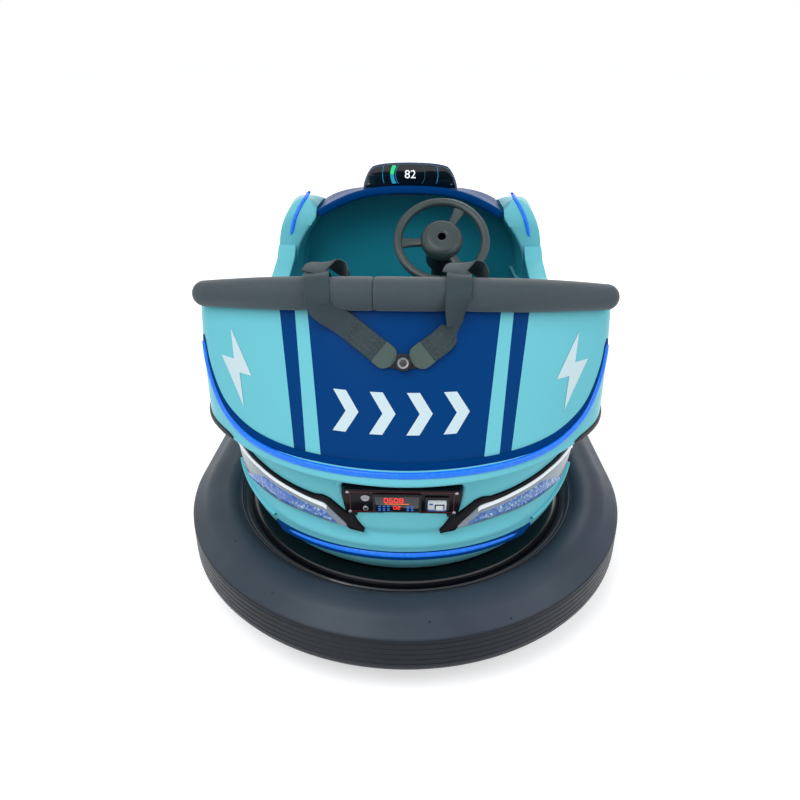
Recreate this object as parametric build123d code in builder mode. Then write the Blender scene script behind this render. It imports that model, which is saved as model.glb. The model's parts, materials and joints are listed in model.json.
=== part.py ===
"""A two-seat battery bumper car: a fibreglass body inside an oval pneumatic bumper tyre.

Millimetres. +Y is forward, +X is the riders' right and +Z is up. The origin is on the floor, below the
middle of the bumper tyre. The driver sits on the right.
"""

import os
from math import asin, atan2, cos, radians, sin

from build123d import *

os.makedirs("parts", exist_ok=True)

# Bumper tyre: two arcs in plan, joined by tangent sides that taper to the front
tyre_length = 1800
tyre_rear_radius = 550
tyre_front_radius = 480
tyre_width = 150
tyre_underside = 50
tread_bottom = 78
tread_top = 160
tyre_crown = 200
bead_bottom = 88
bead_top = 164
bead_lip = 10

# Black rim: a web inside the tyre and a deck that carries the body
rim_plate = 8
deck_top = 184
deck_width = 62

# Lower hull, parallel to the tyre
hull_wall = 14
hull_foot_inset = 200
hull_turn_inset = 162
hull_turn_z = 232
hull_belly_inset = 141
hull_belly_z = 300
hull_top_inset = 138
hull_top = 480

# Upper body: its plan follows the tyre's, a little wider in front
body_inset = 100
body_widening = 20
body_wall = 56
sill_z = 528
sill_rise_z = 594
sill_front_z = 605
entry_radius = 90
cowl_wall = 24
hood_half_width = 285
hood_top = 770
hood_edge_z = 693
hood_shoulder_z = 733
hood_brow_z = 650
fender_peak_z = 730
fender_shoulder_z = 706
fender_brow_z = 632
cabin_arch_z = 652
cabin_side_z = 580
nose_lead = 14

# The fenders' section: insets from the front body's half width, and drops from the hump's top
fender_crown = (60, 8)
fender_swell = (92, -4)
fender_flank = (15, 58)
fender_valley_drop = 22
fender_lip_drop = 40
fender_lip_run = 12
flank_overhang = 5
flank_share = 0.7

# The space under hood and fenders: insets from the front body's half width
cabin_side_inset = 54
cabin_turn_inset = 67
cabin_arch_inset = 100
cabin_turn_rise = 6
cabin_brow_share = (0.7, 0.9)

# Reaches forward from the body's rear end, and setbacks from its front end
shell_reach = 380
entry_reach = 530
seat_reach = 660
battery_reach = 400
rear_axle_reach = 350
rail_reach = 190
strip_reach = 303
cross_member_reaches = (210, 550)
cross_member_setbacks = (770, 445)
entry_setback = 700
cowl_setback = 502
drive_setback = 270
brow_setback = 170

# Runs along the car from the cockpit's front lip
shoulder_run = 122
peak_run = 52
wheel_setback = 146
pod_run = 34
board_run = 54
board_lean = 128
board_lap = 20

# Padded rail over the backrest
rail_radius = 34
rail_mid_z = 813
rail_bow = 80
rail_droop = 36
rail_seat = 24
rail_side_inset = 132
soft_gap = 0.4

# Floor, seat and battery
floor_plate = 6
floor_gap = 1
panel_wall = 12
seat_top = 400
seat_inset = 226
seat_flange = 66
cushion_inset = 168
cushion_height = 66
cushion_gap = 8
back_cushion_thick = 58
back_cushion_half_width = 300
back_cushion_top = 715
back_cushion_setback = 30
battery_size = (420, 300, 170)

# Chassis: rectangular tube
tube_width = 30
tube_height = 50
rail_x = 160
plate_lift = 26
plate_reach = 60
stand_bolt_radius = 5.25
stand_bolt_x = 110

# Wheels
rear_wheel_radius = 75
rear_wheel_width = 46
rear_wheel_x = 235
drive_wheel_radius = 100
drive_wheel_width = 56
axle_radius = 9
running_fit = 0.08
moving_gap = 6
bracket_plate = 6
bracket_reach = 40
bracket_drop = 22
bracket_lap = 18
tread_depth = 14
tread_chamfer = 5
hub_rim = 8
hub_recess = 10
hub_web = 12
hub_boss = 12
fork_reach = 32
fork_drop = 26
crown_plate = 8
motor_radius = 36
motor_length = 78
motor_chamfer = 4
stem_radius = 18
stem_gap = 2

# Steering
wheel_x = 94
wheel_z = 655
wheel_rise = 48
wheel_radius = 127
wheel_grip = 13
hub_radius = 62
hub_depth = 42
hub_drop = 14
hub_bore = 14
spoke_width = 30
spoke_thick = 12
spoke_angles = (63, 183, 303)
shaft_radius = 12
shaft_overlap = 40
tube_radius = 26
shroud_radius = 44
shroud_length = 90
column_length = 485
column_overlap = 20
case_size = (205, 170, 66)
case_x = 50
case_setback = 30
case_corner = 24
case_lid = 8

# Lamps, panel and display
strip_width = 12
strip_depth = 4
strip_z = 503
strip_top = 668
strip_turn = 15
strip_rise = 62
strip_step = 19
strip_lean = 46
lower_strip_z = 278
lower_strip_reach = 275
panel_size = (240, 76)
panel_depth = 10
panel_root = 60
panel_z = 412
meter_size = (96, 50)
meter_corner = 3
meter_depth = 5
meter_x = -8
switch_size = (36, 26)
switch_depth = 14
switch_x = 74
lamp_depth = 8
lamp_top_z = 404
lamp_tip_z = 368
lamp_inner_z = 389
lamp_foot_z = 338
lamp_side_inset = 178
lamp_heel = 6
lamp_run = 45
lamp_cut = 52
lamp_gap = 1
pod_depth = 100
pod_height = 64
screen_size = (150, 32)
screen_corner = 8
screen_depth = 3
screen_drop = 26
headlight_x = 215
headlight_z = 560
headlight_size = (120, 46)
grille_z = 390
grille_width = 260
grille_bars = 4
grille_pitch = 26
grille_bar = 9
grille_frame = 10
grille_corner = 20
pedal_x = 185
pedal_width = 70

# The pedal's side view, as places from the toe board's foot and heights over the floor pan
pedal_outline = ((-44, 0), (-2, 0), (-2, 16), (-12, 22), (10, 124), (0, 127), (-24, 24), (-44, 14))

# Points of each fender's light strip: insets from the front body's half width, and drops from the hump's top
fender_strip = ((36, 104), (48, 58), (74, 20))
fender_strip_head = 86

# Harness
strap_width = 50
strap_thick = 3
strap_x = (-165, 100)
strap_reach = 110
strap_drop = 18
strap_clear = 12
strap_stagger = 4
anchor_z = 698
anchor_lift = 8
anchor_radius = 14
anchor_length = 44
buckle_foot = 467
buckle_top = 545
buckle_width = 58
buckle_thick = 20
buckle_corner = 6

# Derived places, from the two ends of the body
far = 2 * tyre_length
rear_y = tyre_rear_radius - tyre_length / 2
front_y = tyre_length / 2 - tyre_front_radius
body_rear_y = rear_y - tyre_rear_radius + body_inset
body_front_y = front_y + tyre_front_radius - body_inset + body_widening
floor_top = deck_top + floor_plate
sides = {"left": -1, "right": 1}

rear_shell_front_y = body_rear_y + shell_reach
entry_rear_y = body_rear_y + entry_reach
seat_front_y = body_rear_y + seat_reach
battery_y = body_rear_y + battery_reach
rear_wheel_y = body_rear_y + rear_axle_reach
rail_mid_y = body_rear_y + rail_reach
entry_front_y = body_front_y - entry_setback
cowl_rear_y = body_front_y - cowl_setback
drive_y = body_front_y - drive_setback
wheel_centre = (wheel_x, cowl_rear_y - wheel_setback, wheel_z)
pod_rear_y = cowl_rear_y + pod_run
board_foot = cowl_rear_y + board_run
board_head = (board_foot + board_lean, hood_top)
cross_members_y = [body_rear_y + reach for reach in cross_member_reaches]
cross_members_y += [body_front_y - setback for setback in cross_member_setbacks]

# Half widths that follow the two ends of the tyre
shell_half = tyre_rear_radius - body_inset
rail_half_span = tyre_rear_radius - rail_side_inset
cowl_half = tyre_front_radius - body_inset + body_widening


def save(part, name):
    """Labels a finished piece and writes its file."""
    part.label = name
    export_step(part, f"parts/{name}.step")


def oval(inset, level=0, widening=0):
    """The plan of the tyre's outer edge, moved inwards by inset; widening adds to its front arc."""
    rear_r = tyre_rear_radius - inset
    front_r = tyre_front_radius - inset + widening
    taper = asin((rear_r - front_r) / (front_y - rear_y))
    rear = (rear_r * cos(taper), rear_y + rear_r * sin(taper))
    front = (front_r * cos(taper), front_y + front_r * sin(taper))
    with BuildSketch(Plane.XY.offset(level), mode=Mode.PRIVATE) as face:
        with BuildLine():
            ThreePointArc((-rear[0], rear[1]), (0, rear_y - rear_r), rear)
            Line(rear, front)
            ThreePointArc(front, (0, front_y + front_r), (-front[0], front[1]))
            Line((-front[0], front[1]), (-rear[0], rear[1]))
        make_face()
    return face.sketch


def oval_block(inset, bottom, top, widening=0):
    """An upright block with the oval plan."""
    with BuildPart(mode=Mode.PRIVATE) as block:
        add(oval(inset, bottom, widening))
        extrude(amount=top - bottom)
    return block.part


def oval_loft(levels, extra=0):
    """A smooth solid through oval plans: levels holds rows of (height, inset)."""
    with BuildPart(mode=Mode.PRIVATE) as solid:
        for height, inset in levels:
            add(oval(inset + extra, height))
        loft()
    return solid.part


# Plans of the rear shell: height, half width, rearmost y, bow of the back, corner radius
shell_waist_z = 600
shell_head_z = 830
shell_levels = (
    (hull_top, shell_half, body_rear_y, 0.645 * shell_half, 0.467 * shell_half),
    (shell_waist_z, shell_half - 4, body_rear_y + 75, 0.422 * shell_half, 0.289 * shell_half),
    (shell_head_z, shell_half - 12, body_rear_y + 210, 0.233 * shell_half, 0.133 * shell_half),
)
sharpest_corner = 20


def shell_volume(inset=0):
    """Everything inside the rear shell's outer face, moved inwards by inset."""
    with BuildPart(mode=Mode.PRIVATE) as volume:
        for height, half, back, bow, corner in shell_levels:
            w = half - inset
            y = back + inset
            with BuildSketch(Plane.XY.offset(height)) as plan:
                with BuildLine():
                    Line((w, entry_rear_y), (-w, entry_rear_y))
                    Line((-w, entry_rear_y), (-w, y + bow))
                    ThreePointArc((-w, y + bow), (0, y), (w, y + bow))
                    Line((w, y + bow), (w, entry_rear_y))
                make_face()
                fillet(plan.vertices().group_by(Axis.Y)[0], max(corner - inset, sharpest_corner))
        loft()
    return volume.part


def rail_place(x):
    """The middle of the padded rail's section at a distance from the centre line: its y and z."""
    share = (x / rail_half_span) ** 2
    return rail_mid_y + rail_bow * share, rail_mid_z - rail_droop * share


def side_block(outline):
    """A block right across the car from an outline of (y, z) points."""
    with BuildPart(mode=Mode.PRIVATE) as block:
        with BuildSketch(Plane.YZ):
            with BuildLine():
                Polyline(*outline, close=True)
            make_face()
        extrude(amount=far, both=True)
    return block.part


def box_between(low, high):
    """A box from its two corners."""
    size = [abs(b - a) for a, b in zip(low, high)]
    middle = [(a + b) / 2 for a, b in zip(low, high)]
    return Pos(*middle) * Box(*size, mode=Mode.PRIVATE)


def behind(y):
    """Everything behind a place along the car, for cutting."""
    return box_between((-far, y - far, -far), (far, y, far))


def ahead(y):
    """Everything ahead of a place along the car, for cutting."""
    return box_between((-far, y, -far), (far, y + far, far))


def beside(side, x=0):
    """Everything further to one side than x."""
    return box_between((side * x, -far, -far), (side * (x + far), far, far))


def tyre_section(plane):
    """The tyre's section: an upright tread band, bulging sidewalls and a lip at the rim."""
    lip_x = tyre_width - bead_lip
    with BuildSketch(plane, mode=Mode.PRIVATE) as section:
        with BuildLine():
            Line((0, tread_bottom), (0, tread_top))
            ThreePointArc((0, tread_top), (tyre_width / 2, tyre_crown), (lip_x, bead_top + bead_lip))
            Polyline((lip_x, bead_top + bead_lip), (tyre_width, bead_top), (tyre_width, bead_bottom),
                     (lip_x, bead_bottom - bead_lip))
            ThreePointArc((lip_x, bead_bottom - bead_lip), (tyre_width / 2, tyre_underside),
                          (bead_lip, tread_bottom - bead_lip))
            Line((bead_lip, tread_bottom - bead_lip), (0, tread_bottom))
        make_face()
    return section.sketch


# Bumper tyre
with BuildPart() as bumper_tyre:
    add(tyre_section(Plane(origin=(0, rear_y - tyre_rear_radius, 0), x_dir=(0, 1, 0), z_dir=(1, 0, 0))))
    sweep(path=oval(0).faces()[0].outer_wire())
save(bumper_tyre.part, "bumper_tyre")

# Rim: the web takes the bead, the deck carries the hull
with BuildPart() as bumper_rim:
    add(oval_block(tyre_width, bead_bottom, deck_top))
    add(oval_block(tyre_width + rim_plate, bead_bottom, deck_top - rim_plate), mode=Mode.SUBTRACT)
    add(oval_block(tyre_width + deck_width, bead_bottom, deck_top), mode=Mode.SUBTRACT)
save(bumper_rim.part, "bumper_rim")

# Chassis: two rails, cross-members, two risers and the plate over the drive unit
tube_top = deck_top - rim_plate
tube_bottom = tube_top - tube_height
plate_z = 2 * drive_wheel_radius + plate_lift
plate_rear = drive_y - plate_reach
plate_front = drive_y + plate_reach
rail_outer = rail_x + tube_width / 2
with BuildPart() as chassis_frame:
    for x in (-rail_x, rail_x):
        add(box_between((x - tube_width / 2, -far, tube_bottom), (x + tube_width / 2, far, tube_top)))
    for y in cross_members_y:
        add(box_between((-far, y - tube_width / 2, tube_bottom), (far, y + tube_width / 2, tube_top)))
    add(oval_block(tyre_width + rim_plate, 0, hull_top), mode=Mode.INTERSECT)
    for x in (-rail_x, rail_x):
        add(box_between((x - tube_width / 2, plate_rear, tube_top),
                        (x + tube_width / 2, plate_front, plate_z)))
    add(box_between((-rail_outer, plate_rear, plate_z), (rail_outer, plate_front, plate_z + rim_plate)))
    with Locations((0, drive_y, 0)):
        Cylinder(stem_radius + stem_gap, far, mode=Mode.SUBTRACT)
    with Locations(*[(x, y, 0) for x in (-stand_bolt_x, stand_bolt_x) for y in cross_members_y[1:3]]):
        Cylinder(stand_bolt_radius, far, mode=Mode.SUBTRACT)
save(chassis_frame.part, "chassis_frame")

# Floor pan, open in front over the drive unit
floor_front_y = board_foot + board_lap
with BuildPart() as floor_pan:
    add(oval_block(hull_foot_inset + hull_wall + floor_gap, deck_top, floor_top))
    add(ahead(floor_front_y), mode=Mode.SUBTRACT)
save(floor_pan.part, "floor_pan")

# Lower hull: a bowl that rounds up into a nearly upright band
bowl_levels = ((deck_top, hull_foot_inset), (hull_turn_z, hull_turn_inset), (hull_belly_z, hull_belly_inset))
band_levels = ((hull_belly_z, hull_belly_inset), (hull_top, hull_top_inset))


def hull_volume(inset=0):
    """Everything inside the lower hull's outer face, moved inwards by inset."""
    with BuildPart(mode=Mode.PRIVATE) as volume:
        add(oval_loft(bowl_levels, inset))
        add(oval_loft(band_levels, inset))
    return volume.part


with BuildPart() as lower_hull:
    add(hull_volume())
    add(hull_volume(hull_wall), mode=Mode.SUBTRACT)
save(lower_hull.part, "lower_hull")

# Padded rail: one arc, bowed back and sagging to its ends
rail_end = (rail_half_span, *rail_place(rail_half_span))


def rail(radius):
    """The padded rail as a round bar of the given radius with rounded ends."""
    with BuildPart(mode=Mode.PRIVATE) as bar:
        with BuildLine() as path:
            ThreePointArc((-rail_end[0], rail_end[1], rail_end[2]), (0, rail_mid_y, rail_mid_z), rail_end)
        with BuildSketch(path.line ^ 0):
            Circle(radius)
        sweep(path=path.line)
        with Locations(path.line @ 0, path.line @ 1):
            Sphere(radius)
    return bar.part


save(rail(rail_radius), "rear_rail")

# Rear shell, its top edge cut to the rail's own curve
shell_end_z = rail_place(shell_half)[1] - rail_seat
with BuildPart() as rear_shell:
    add(shell_volume())
    add(shell_volume(body_wall), mode=Mode.SUBTRACT)
    with BuildSketch(Plane.XZ):
        with BuildLine():
            ThreePointArc((-shell_half, shell_end_z), (0, rail_mid_z - rail_seat), (shell_half, shell_end_z))
            Polyline((shell_half, shell_end_z), (far, shell_end_z), (far, far), (-far, far),
                     (-far, shell_end_z), (-shell_half, shell_end_z))
        make_face()
    extrude(amount=far, both=True, mode=Mode.SUBTRACT)
    add(rail(rail_radius + soft_gap), mode=Mode.SUBTRACT)
    add(ahead(rear_shell_front_y), mode=Mode.SUBTRACT)
save(rear_shell.part, "rear_shell")


def body_volume(inset=0):
    """The block inside the body's upright sides, moved inwards by inset."""
    return oval_block(body_inset + inset, hull_top, shell_head_z, body_widening)


# Side walls: low at the entry, rising to the shell behind and the fender in front
with BuildPart() as side_walls:
    add(body_volume())
    add(body_volume(body_wall), mode=Mode.SUBTRACT)
    add(behind(rear_shell_front_y), mode=Mode.SUBTRACT)
    add(ahead(cowl_rear_y), mode=Mode.SUBTRACT)
    with BuildSketch(Plane.YZ) as entry:
        with BuildLine():
            Polyline((rear_shell_front_y - 1, shell_end_z + 6), (rear_shell_front_y + 30, shell_end_z),
                     (entry_rear_y, sill_z), (entry_front_y, sill_z), (cowl_rear_y - 40, sill_rise_z),
                     (cowl_rear_y + 1, sill_front_z), (cowl_rear_y + 1, far), (rear_shell_front_y - 1, far),
                     close=True)
        make_face()
        fillet(entry.vertices().group_by(Axis.Y)[0], entry_radius)
    extrude(amount=far, both=True, mode=Mode.SUBTRACT)
for name, side in sides.items():
    with BuildPart() as side_wall:
        add(side_walls.part)
        add(beside(side), mode=Mode.INTERSECT)
    save(side_wall.part, f"side_wall_{name}")

# Hood and fenders: each is a side profile from the cockpit's lip to the nose, cut to its own section
shoulder_y = cowl_rear_y + shoulder_run
brow_y = body_front_y - brow_setback
nose_y = body_front_y + nose_lead
peak_y = cowl_rear_y + peak_run


def hood_volume(inset=0):
    """Everything under the hood, moved inwards by inset."""
    lip_y = cowl_rear_y + inset
    shoulder = (shoulder_y, hood_shoulder_z - inset)
    nose = (nose_y - inset, hull_top)
    with BuildPart(mode=Mode.PRIVATE) as volume:
        add(body_volume(inset))
        with BuildSketch(Plane.YZ):
            with BuildLine():
                Polyline((nose[0], 0), (lip_y, 0), (lip_y, hood_top - inset), shoulder)
                ThreePointArc(shoulder, (brow_y, hood_brow_z - inset), nose)
                Line(nose, (nose[0], 0))
            make_face()
        extrude(amount=far, both=True, mode=Mode.INTERSECT)
        with BuildSketch(Plane.XZ):
            with BuildLine():
                Polyline((hood_half_width, hood_edge_z - inset), (hood_half_width, 0), (-hood_half_width, 0),
                         (-hood_half_width, hood_edge_z - inset))
                ThreePointArc((-hood_half_width, hood_edge_z - inset), (0, hood_top - inset),
                              (hood_half_width, hood_edge_z - inset))
            make_face()
        extrude(amount=far, both=True, mode=Mode.INTERSECT)
    return volume.part


def fender_volume(side, inset=0):
    """Everything under one fender, moved inwards by inset: a hump beside the hood."""
    lip_y = cowl_rear_y + inset
    peak = (peak_y, fender_peak_z - inset)
    shoulder = (shoulder_y, fender_shoulder_z - inset)
    nose = (nose_y - inset, hull_top)
    top = fender_peak_z - inset
    inner_top = (side * hood_half_width, top - fender_valley_drop)
    swell = (side * (cowl_half - fender_swell[0]), top - fender_swell[1])
    crown = (side * (cowl_half - fender_crown[0]), top - fender_crown[1])
    bulge = (side * (cowl_half - fender_flank[0] - inset * flank_share),
             fender_peak_z - fender_flank[1] - inset * flank_share)
    flank = (side * (cowl_half + flank_overhang - inset), sill_front_z)
    with BuildPart(mode=Mode.PRIVATE) as volume:
        add(body_volume(inset))
        with BuildSketch(Plane.YZ):
            with BuildLine():
                Polyline((nose[0], 0), (lip_y, 0), (lip_y, sill_front_z))
                ThreePointArc((lip_y, sill_front_z), (lip_y + fender_lip_run, top - fender_lip_drop), peak)
                Line(peak, shoulder)
                ThreePointArc(shoulder, (brow_y, fender_brow_z - inset), nose)
                Line(nose, (nose[0], 0))
            make_face()
        extrude(amount=far, both=True, mode=Mode.INTERSECT)
        with BuildSketch(Plane.XZ):
            with BuildLine():
                Line((side * hood_half_width, 0), inner_top)
                ThreePointArc(inner_top, swell, crown)
                ThreePointArc(crown, bulge, flank)
                Polyline(flank, (side * far, sill_front_z), (side * far, 0), (side * hood_half_width, 0))
            make_face()
        extrude(amount=far, both=True, mode=Mode.INTERSECT)
    return volume.part


# The space under the hood and fenders
cabin_shoulder = (shoulder_y, hood_shoulder_z - cowl_wall)
cabin_brow = (brow_y - cowl_wall * cabin_brow_share[0], hood_brow_z - cowl_wall * cabin_brow_share[1])
cabin_nose_y = nose_y - body_wall
cabin_half = cowl_half - cabin_side_inset
cabin_turn = (cowl_half - cabin_turn_inset, (cabin_side_z + cabin_arch_z) / 2 + cabin_turn_rise)
cabin_spring = (cowl_half - cabin_arch_inset, cabin_arch_z)
with BuildPart() as cowl_space:
    add(body_volume(body_wall))
    with BuildSketch(Plane.YZ):
        with BuildLine():
            Polyline((cabin_nose_y, 0), (cowl_rear_y - 1, 0), (cowl_rear_y - 1, hood_top - cowl_wall),
                     cabin_shoulder)
            ThreePointArc(cabin_shoulder, cabin_brow, (cabin_nose_y, hull_top))
            Line((cabin_nose_y, hull_top), (cabin_nose_y, 0))
        make_face()
    extrude(amount=far, both=True, mode=Mode.INTERSECT)
    with BuildSketch(Plane.XZ):
        with BuildLine():
            Polyline((cabin_half, cabin_side_z), (cabin_half, 0), (-cabin_half, 0),
                     (-cabin_half, cabin_side_z))
            ThreePointArc((-cabin_half, cabin_side_z), (-cabin_turn[0], cabin_turn[1]),
                          (-cabin_spring[0], cabin_arch_z))
            ThreePointArc((-cabin_spring[0], cabin_arch_z), (0, hood_top - cowl_wall), cabin_spring)
            ThreePointArc(cabin_spring, cabin_turn, (cabin_half, cabin_side_z))
        make_face()
    extrude(amount=far, both=True, mode=Mode.INTERSECT)

with BuildPart() as hood:
    add(hood_volume())
    add(cowl_space.part, mode=Mode.SUBTRACT)
save(hood.part, "hood")
for name, side in sides.items():
    with BuildPart() as fender:
        add(fender_volume(side))
        add(cowl_space.part, mode=Mode.SUBTRACT)
    save(fender.part, f"fender_{name}")

# Steering: the column runs from the wheel down through the toe board
axis_up = Vector(0, -cos(radians(wheel_rise)), sin(radians(wheel_rise)))
wheel_plane = Plane(origin=wheel_centre, x_dir=(1, 0, 0), z_dir=axis_up)


def on_column(distance):
    """The plane across the column at a distance below the steering wheel's middle."""
    return wheel_plane.offset(-distance)


# Toe board: closes the footwell in front of the pedal
with BuildPart() as inside:
    add(hull_volume(hull_wall))
    add(cowl_space.part)
with BuildPart() as toe_board:
    add(side_block(((board_foot, floor_top), board_head, (board_head[0] + panel_wall, board_head[1]),
                    (board_foot + panel_wall, floor_top))))
    add(inside.part, mode=Mode.INTERSECT)
    with BuildSketch(on_column(0)):
        Circle(tube_radius)
    extrude(amount=-column_length, mode=Mode.SUBTRACT)
save(toe_board.part, "toe_board")

# Seat box and what it carries
with BuildPart() as seat_box:
    add(oval_block(seat_inset, floor_top, seat_top))
    add(ahead(seat_front_y), mode=Mode.SUBTRACT)
    box_inside = oval_block(seat_inset + panel_wall, floor_top, seat_top - panel_wall)
    add(box_inside - ahead(seat_front_y - panel_wall), mode=Mode.SUBTRACT)
    add(oval_block(seat_inset - seat_flange, seat_top - panel_wall, seat_top) - ahead(seat_front_y))
save(seat_box.part, "seat_box")

with BuildPart() as seat_cushion:
    add(oval_block(cushion_inset, seat_top + soft_gap, seat_top + cushion_height))
    add(ahead(seat_front_y), mode=Mode.SUBTRACT)
save(seat_cushion.part, "seat_cushion")

with BuildPart() as back_cushion:
    add(shell_volume(body_wall + soft_gap))
    add(shell_volume(body_wall + back_cushion_thick), mode=Mode.SUBTRACT)
    add(box_between((-back_cushion_half_width, -far, seat_top + cushion_height + cushion_gap),
                    (back_cushion_half_width, rear_shell_front_y - back_cushion_setback, back_cushion_top)),
        mode=Mode.INTERSECT)
save(back_cushion.part, "back_cushion")

with BuildPart() as battery_pack:
    with Locations((0, battery_y, floor_top)):
        Box(*battery_size, align=(Align.CENTER, Align.CENTER, Align.MIN))
save(battery_pack.part, "battery_pack")

# Rear wheels between bracket plates under the chassis
inner_plate = rear_wheel_width / 2 + moving_gap
outer_plate = inner_plate + bracket_plate
wheel_clear_z = 2 * rear_wheel_radius + moving_gap
bracket_rear = rear_wheel_y - bracket_reach
bracket_front = rear_wheel_y + bracket_reach
axle_end = 6
with BuildPart() as rear_brackets:
    for side in sides.values():
        middle = side * rear_wheel_x
        for x in (middle - outer_plate, middle + inner_plate):
            add(box_between((x, bracket_rear, rear_wheel_radius - bracket_drop),
                            (x + bracket_plate, bracket_front, wheel_clear_z)))
        add(box_between((middle - outer_plate, bracket_rear, wheel_clear_z),
                        (middle + outer_plate, bracket_front, wheel_clear_z + bracket_plate)))
        add(box_between((side * rail_outer, bracket_rear, wheel_clear_z - moving_gap - bracket_lap),
                        (middle - side * inner_plate, bracket_front, wheel_clear_z)))
        with Locations(Location((middle, rear_wheel_y, rear_wheel_radius), (0, 90, 0))):
            Cylinder(axle_radius, 2 * (outer_plate + axle_end))
save(rear_brackets.part, "rear_wheel_brackets")


def road_wheel(radius, width, centre):
    """A solid rubber wheel: its tyre, and its hub with a bore for the axle."""
    spin = Location(centre, (0, 90, 0))
    with BuildPart() as tyre:
        with Locations(spin):
            Cylinder(radius, width)
        chamfer(tyre.edges().filter_by(GeomType.CIRCLE), tread_chamfer)
        with Locations(spin):
            Cylinder(radius - tread_depth, width, mode=Mode.SUBTRACT)
    with BuildPart() as hub:
        with Locations(spin):
            Cylinder(radius - tread_depth, width)
            Cylinder(radius - tread_depth - hub_rim, width - 2 * hub_recess, mode=Mode.SUBTRACT)
            Cylinder(radius - tread_depth - hub_rim, hub_web)
            Cylinder(axle_radius + hub_boss, width)
            Cylinder(axle_radius + running_fit, width, mode=Mode.SUBTRACT)
    return tyre.part, hub.part


for name, side in sides.items():
    place = (side * rear_wheel_x, rear_wheel_y, rear_wheel_radius)
    wheel_tyre, wheel_hub = road_wheel(rear_wheel_radius, rear_wheel_width, place)
    save(wheel_tyre, f"rear_wheel_tyre_{name}")
    save(wheel_hub, f"rear_wheel_hub_{name}")

# Drive unit: a fork that turns about an upright stem, with its motor beside the wheel
fork_inner = drive_wheel_width / 2 + moving_gap
fork_outer = fork_inner + bracket_plate
crown_z = 2 * drive_wheel_radius + moving_gap
case_bottom = plate_z + rim_plate
case_top = case_bottom + case_size[2]
stem_z = crown_z + crown_plate
drive_axle = Location((0, drive_y, drive_wheel_radius), (0, 90, 0))
upwards = (Align.CENTER, Align.CENTER, Align.MIN)
with BuildPart() as drive_fork:
    for x in (-fork_outer, fork_inner):
        add(box_between((x, drive_y - fork_reach, drive_wheel_radius - fork_drop),
                        (x + bracket_plate, drive_y + fork_reach, crown_z)))
    add(box_between((-fork_outer, drive_y - fork_reach, crown_z), (fork_outer, drive_y + fork_reach, stem_z)))
    with Locations(drive_axle):
        Cylinder(axle_radius, 2 * fork_outer)
    with Locations((0, drive_y, stem_z)):
        Cylinder(stem_radius, case_top - case_lid - stem_gap - stem_z, align=upwards)
save(drive_fork.part, "drive_fork")

with BuildPart() as drive_motor:
    with Locations(Location((-fork_outer - motor_length / 2, drive_y, drive_wheel_radius), (0, 90, 0))):
        Cylinder(motor_radius, motor_length)
    chamfer(drive_motor.edges().group_by(Axis.X)[0], motor_chamfer)
save(drive_motor.part, "drive_motor")

wheel_tyre, wheel_hub = road_wheel(drive_wheel_radius, drive_wheel_width, (0, drive_y, drive_wheel_radius))
save(wheel_tyre, "drive_wheel_tyre")
save(wheel_hub, "drive_wheel_hub")

with BuildPart() as steering_case:
    with Locations((case_x, drive_y - case_setback, case_bottom)):
        Box(*case_size, align=upwards)
    fillet(steering_case.edges().filter_by(Axis.Z), case_corner)
    with Locations((0, drive_y, case_bottom)):
        Cylinder(stem_radius + running_fit, case_size[2] - case_lid, align=upwards, mode=Mode.SUBTRACT)
save(steering_case.part, "steering_case")

with BuildPart() as steering_wheel:
    with BuildSketch(Plane(origin=wheel_centre, x_dir=axis_up, z_dir=(1, 0, 0))):
        with Locations((0, wheel_radius)):
            Circle(wheel_grip)
    revolve(axis=Axis(wheel_centre, axis_up))
    with BuildSketch(on_column(spoke_thick / 2)):
        for angle in spoke_angles:
            with Locations(Rot(0, 0, angle) * Pos(wheel_radius / 2, 0)):
                Rectangle(wheel_radius, spoke_width)
        Circle(hub_radius)
    extrude(amount=spoke_thick)
    with BuildSketch(on_column(hub_drop)):
        Circle(hub_radius)
    extrude(amount=hub_depth)
    with BuildSketch(on_column(-hub_depth)):
        Circle(hub_bore)
    extrude(amount=-hub_depth, mode=Mode.SUBTRACT)
save(steering_wheel.part, "steering_wheel")

with BuildPart() as steering_shaft:
    with BuildSketch(on_column(hub_drop)):
        Circle(shaft_radius)
    extrude(amount=shaft_overlap - column_length)
save(steering_shaft.part, "steering_shaft")

shroud_top = hub_drop + moving_gap
with BuildPart() as column_tube:
    with BuildSketch(on_column(shroud_top)):
        Circle(shroud_radius)
    extrude(amount=-shroud_length)
    with BuildSketch(on_column(shroud_top)):
        Circle(tube_radius)
    extrude(amount=shroud_top + column_overlap - column_length)
    with BuildSketch(on_column(0)):
        Circle(shaft_radius + running_fit)
    extrude(amount=-column_length - column_overlap, mode=Mode.SUBTRACT)
    add(steering_case.part, mode=Mode.SUBTRACT)
save(column_tube.part, "steering_column")

with BuildPart() as foot_pedal:
    with BuildSketch(Plane.YZ.offset(pedal_x - pedal_width / 2)):
        with BuildLine():
            Polyline(*[(board_foot + run, floor_top + rise) for run, rise in pedal_outline], close=True)
        make_face()
    extrude(amount=pedal_width)
save(foot_pedal.part, "foot_pedal")


def skin(shape, depth, *cuts):
    """A layer of this depth over a shape's outer face, kept inside each cutting solid."""
    with BuildPart(mode=Mode.PRIVATE) as piece:
        add(shape(-depth))
        add(shape(0), mode=Mode.SUBTRACT)
        for cut in cuts:
            add(cut, mode=Mode.INTERSECT)
    return piece.part


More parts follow.
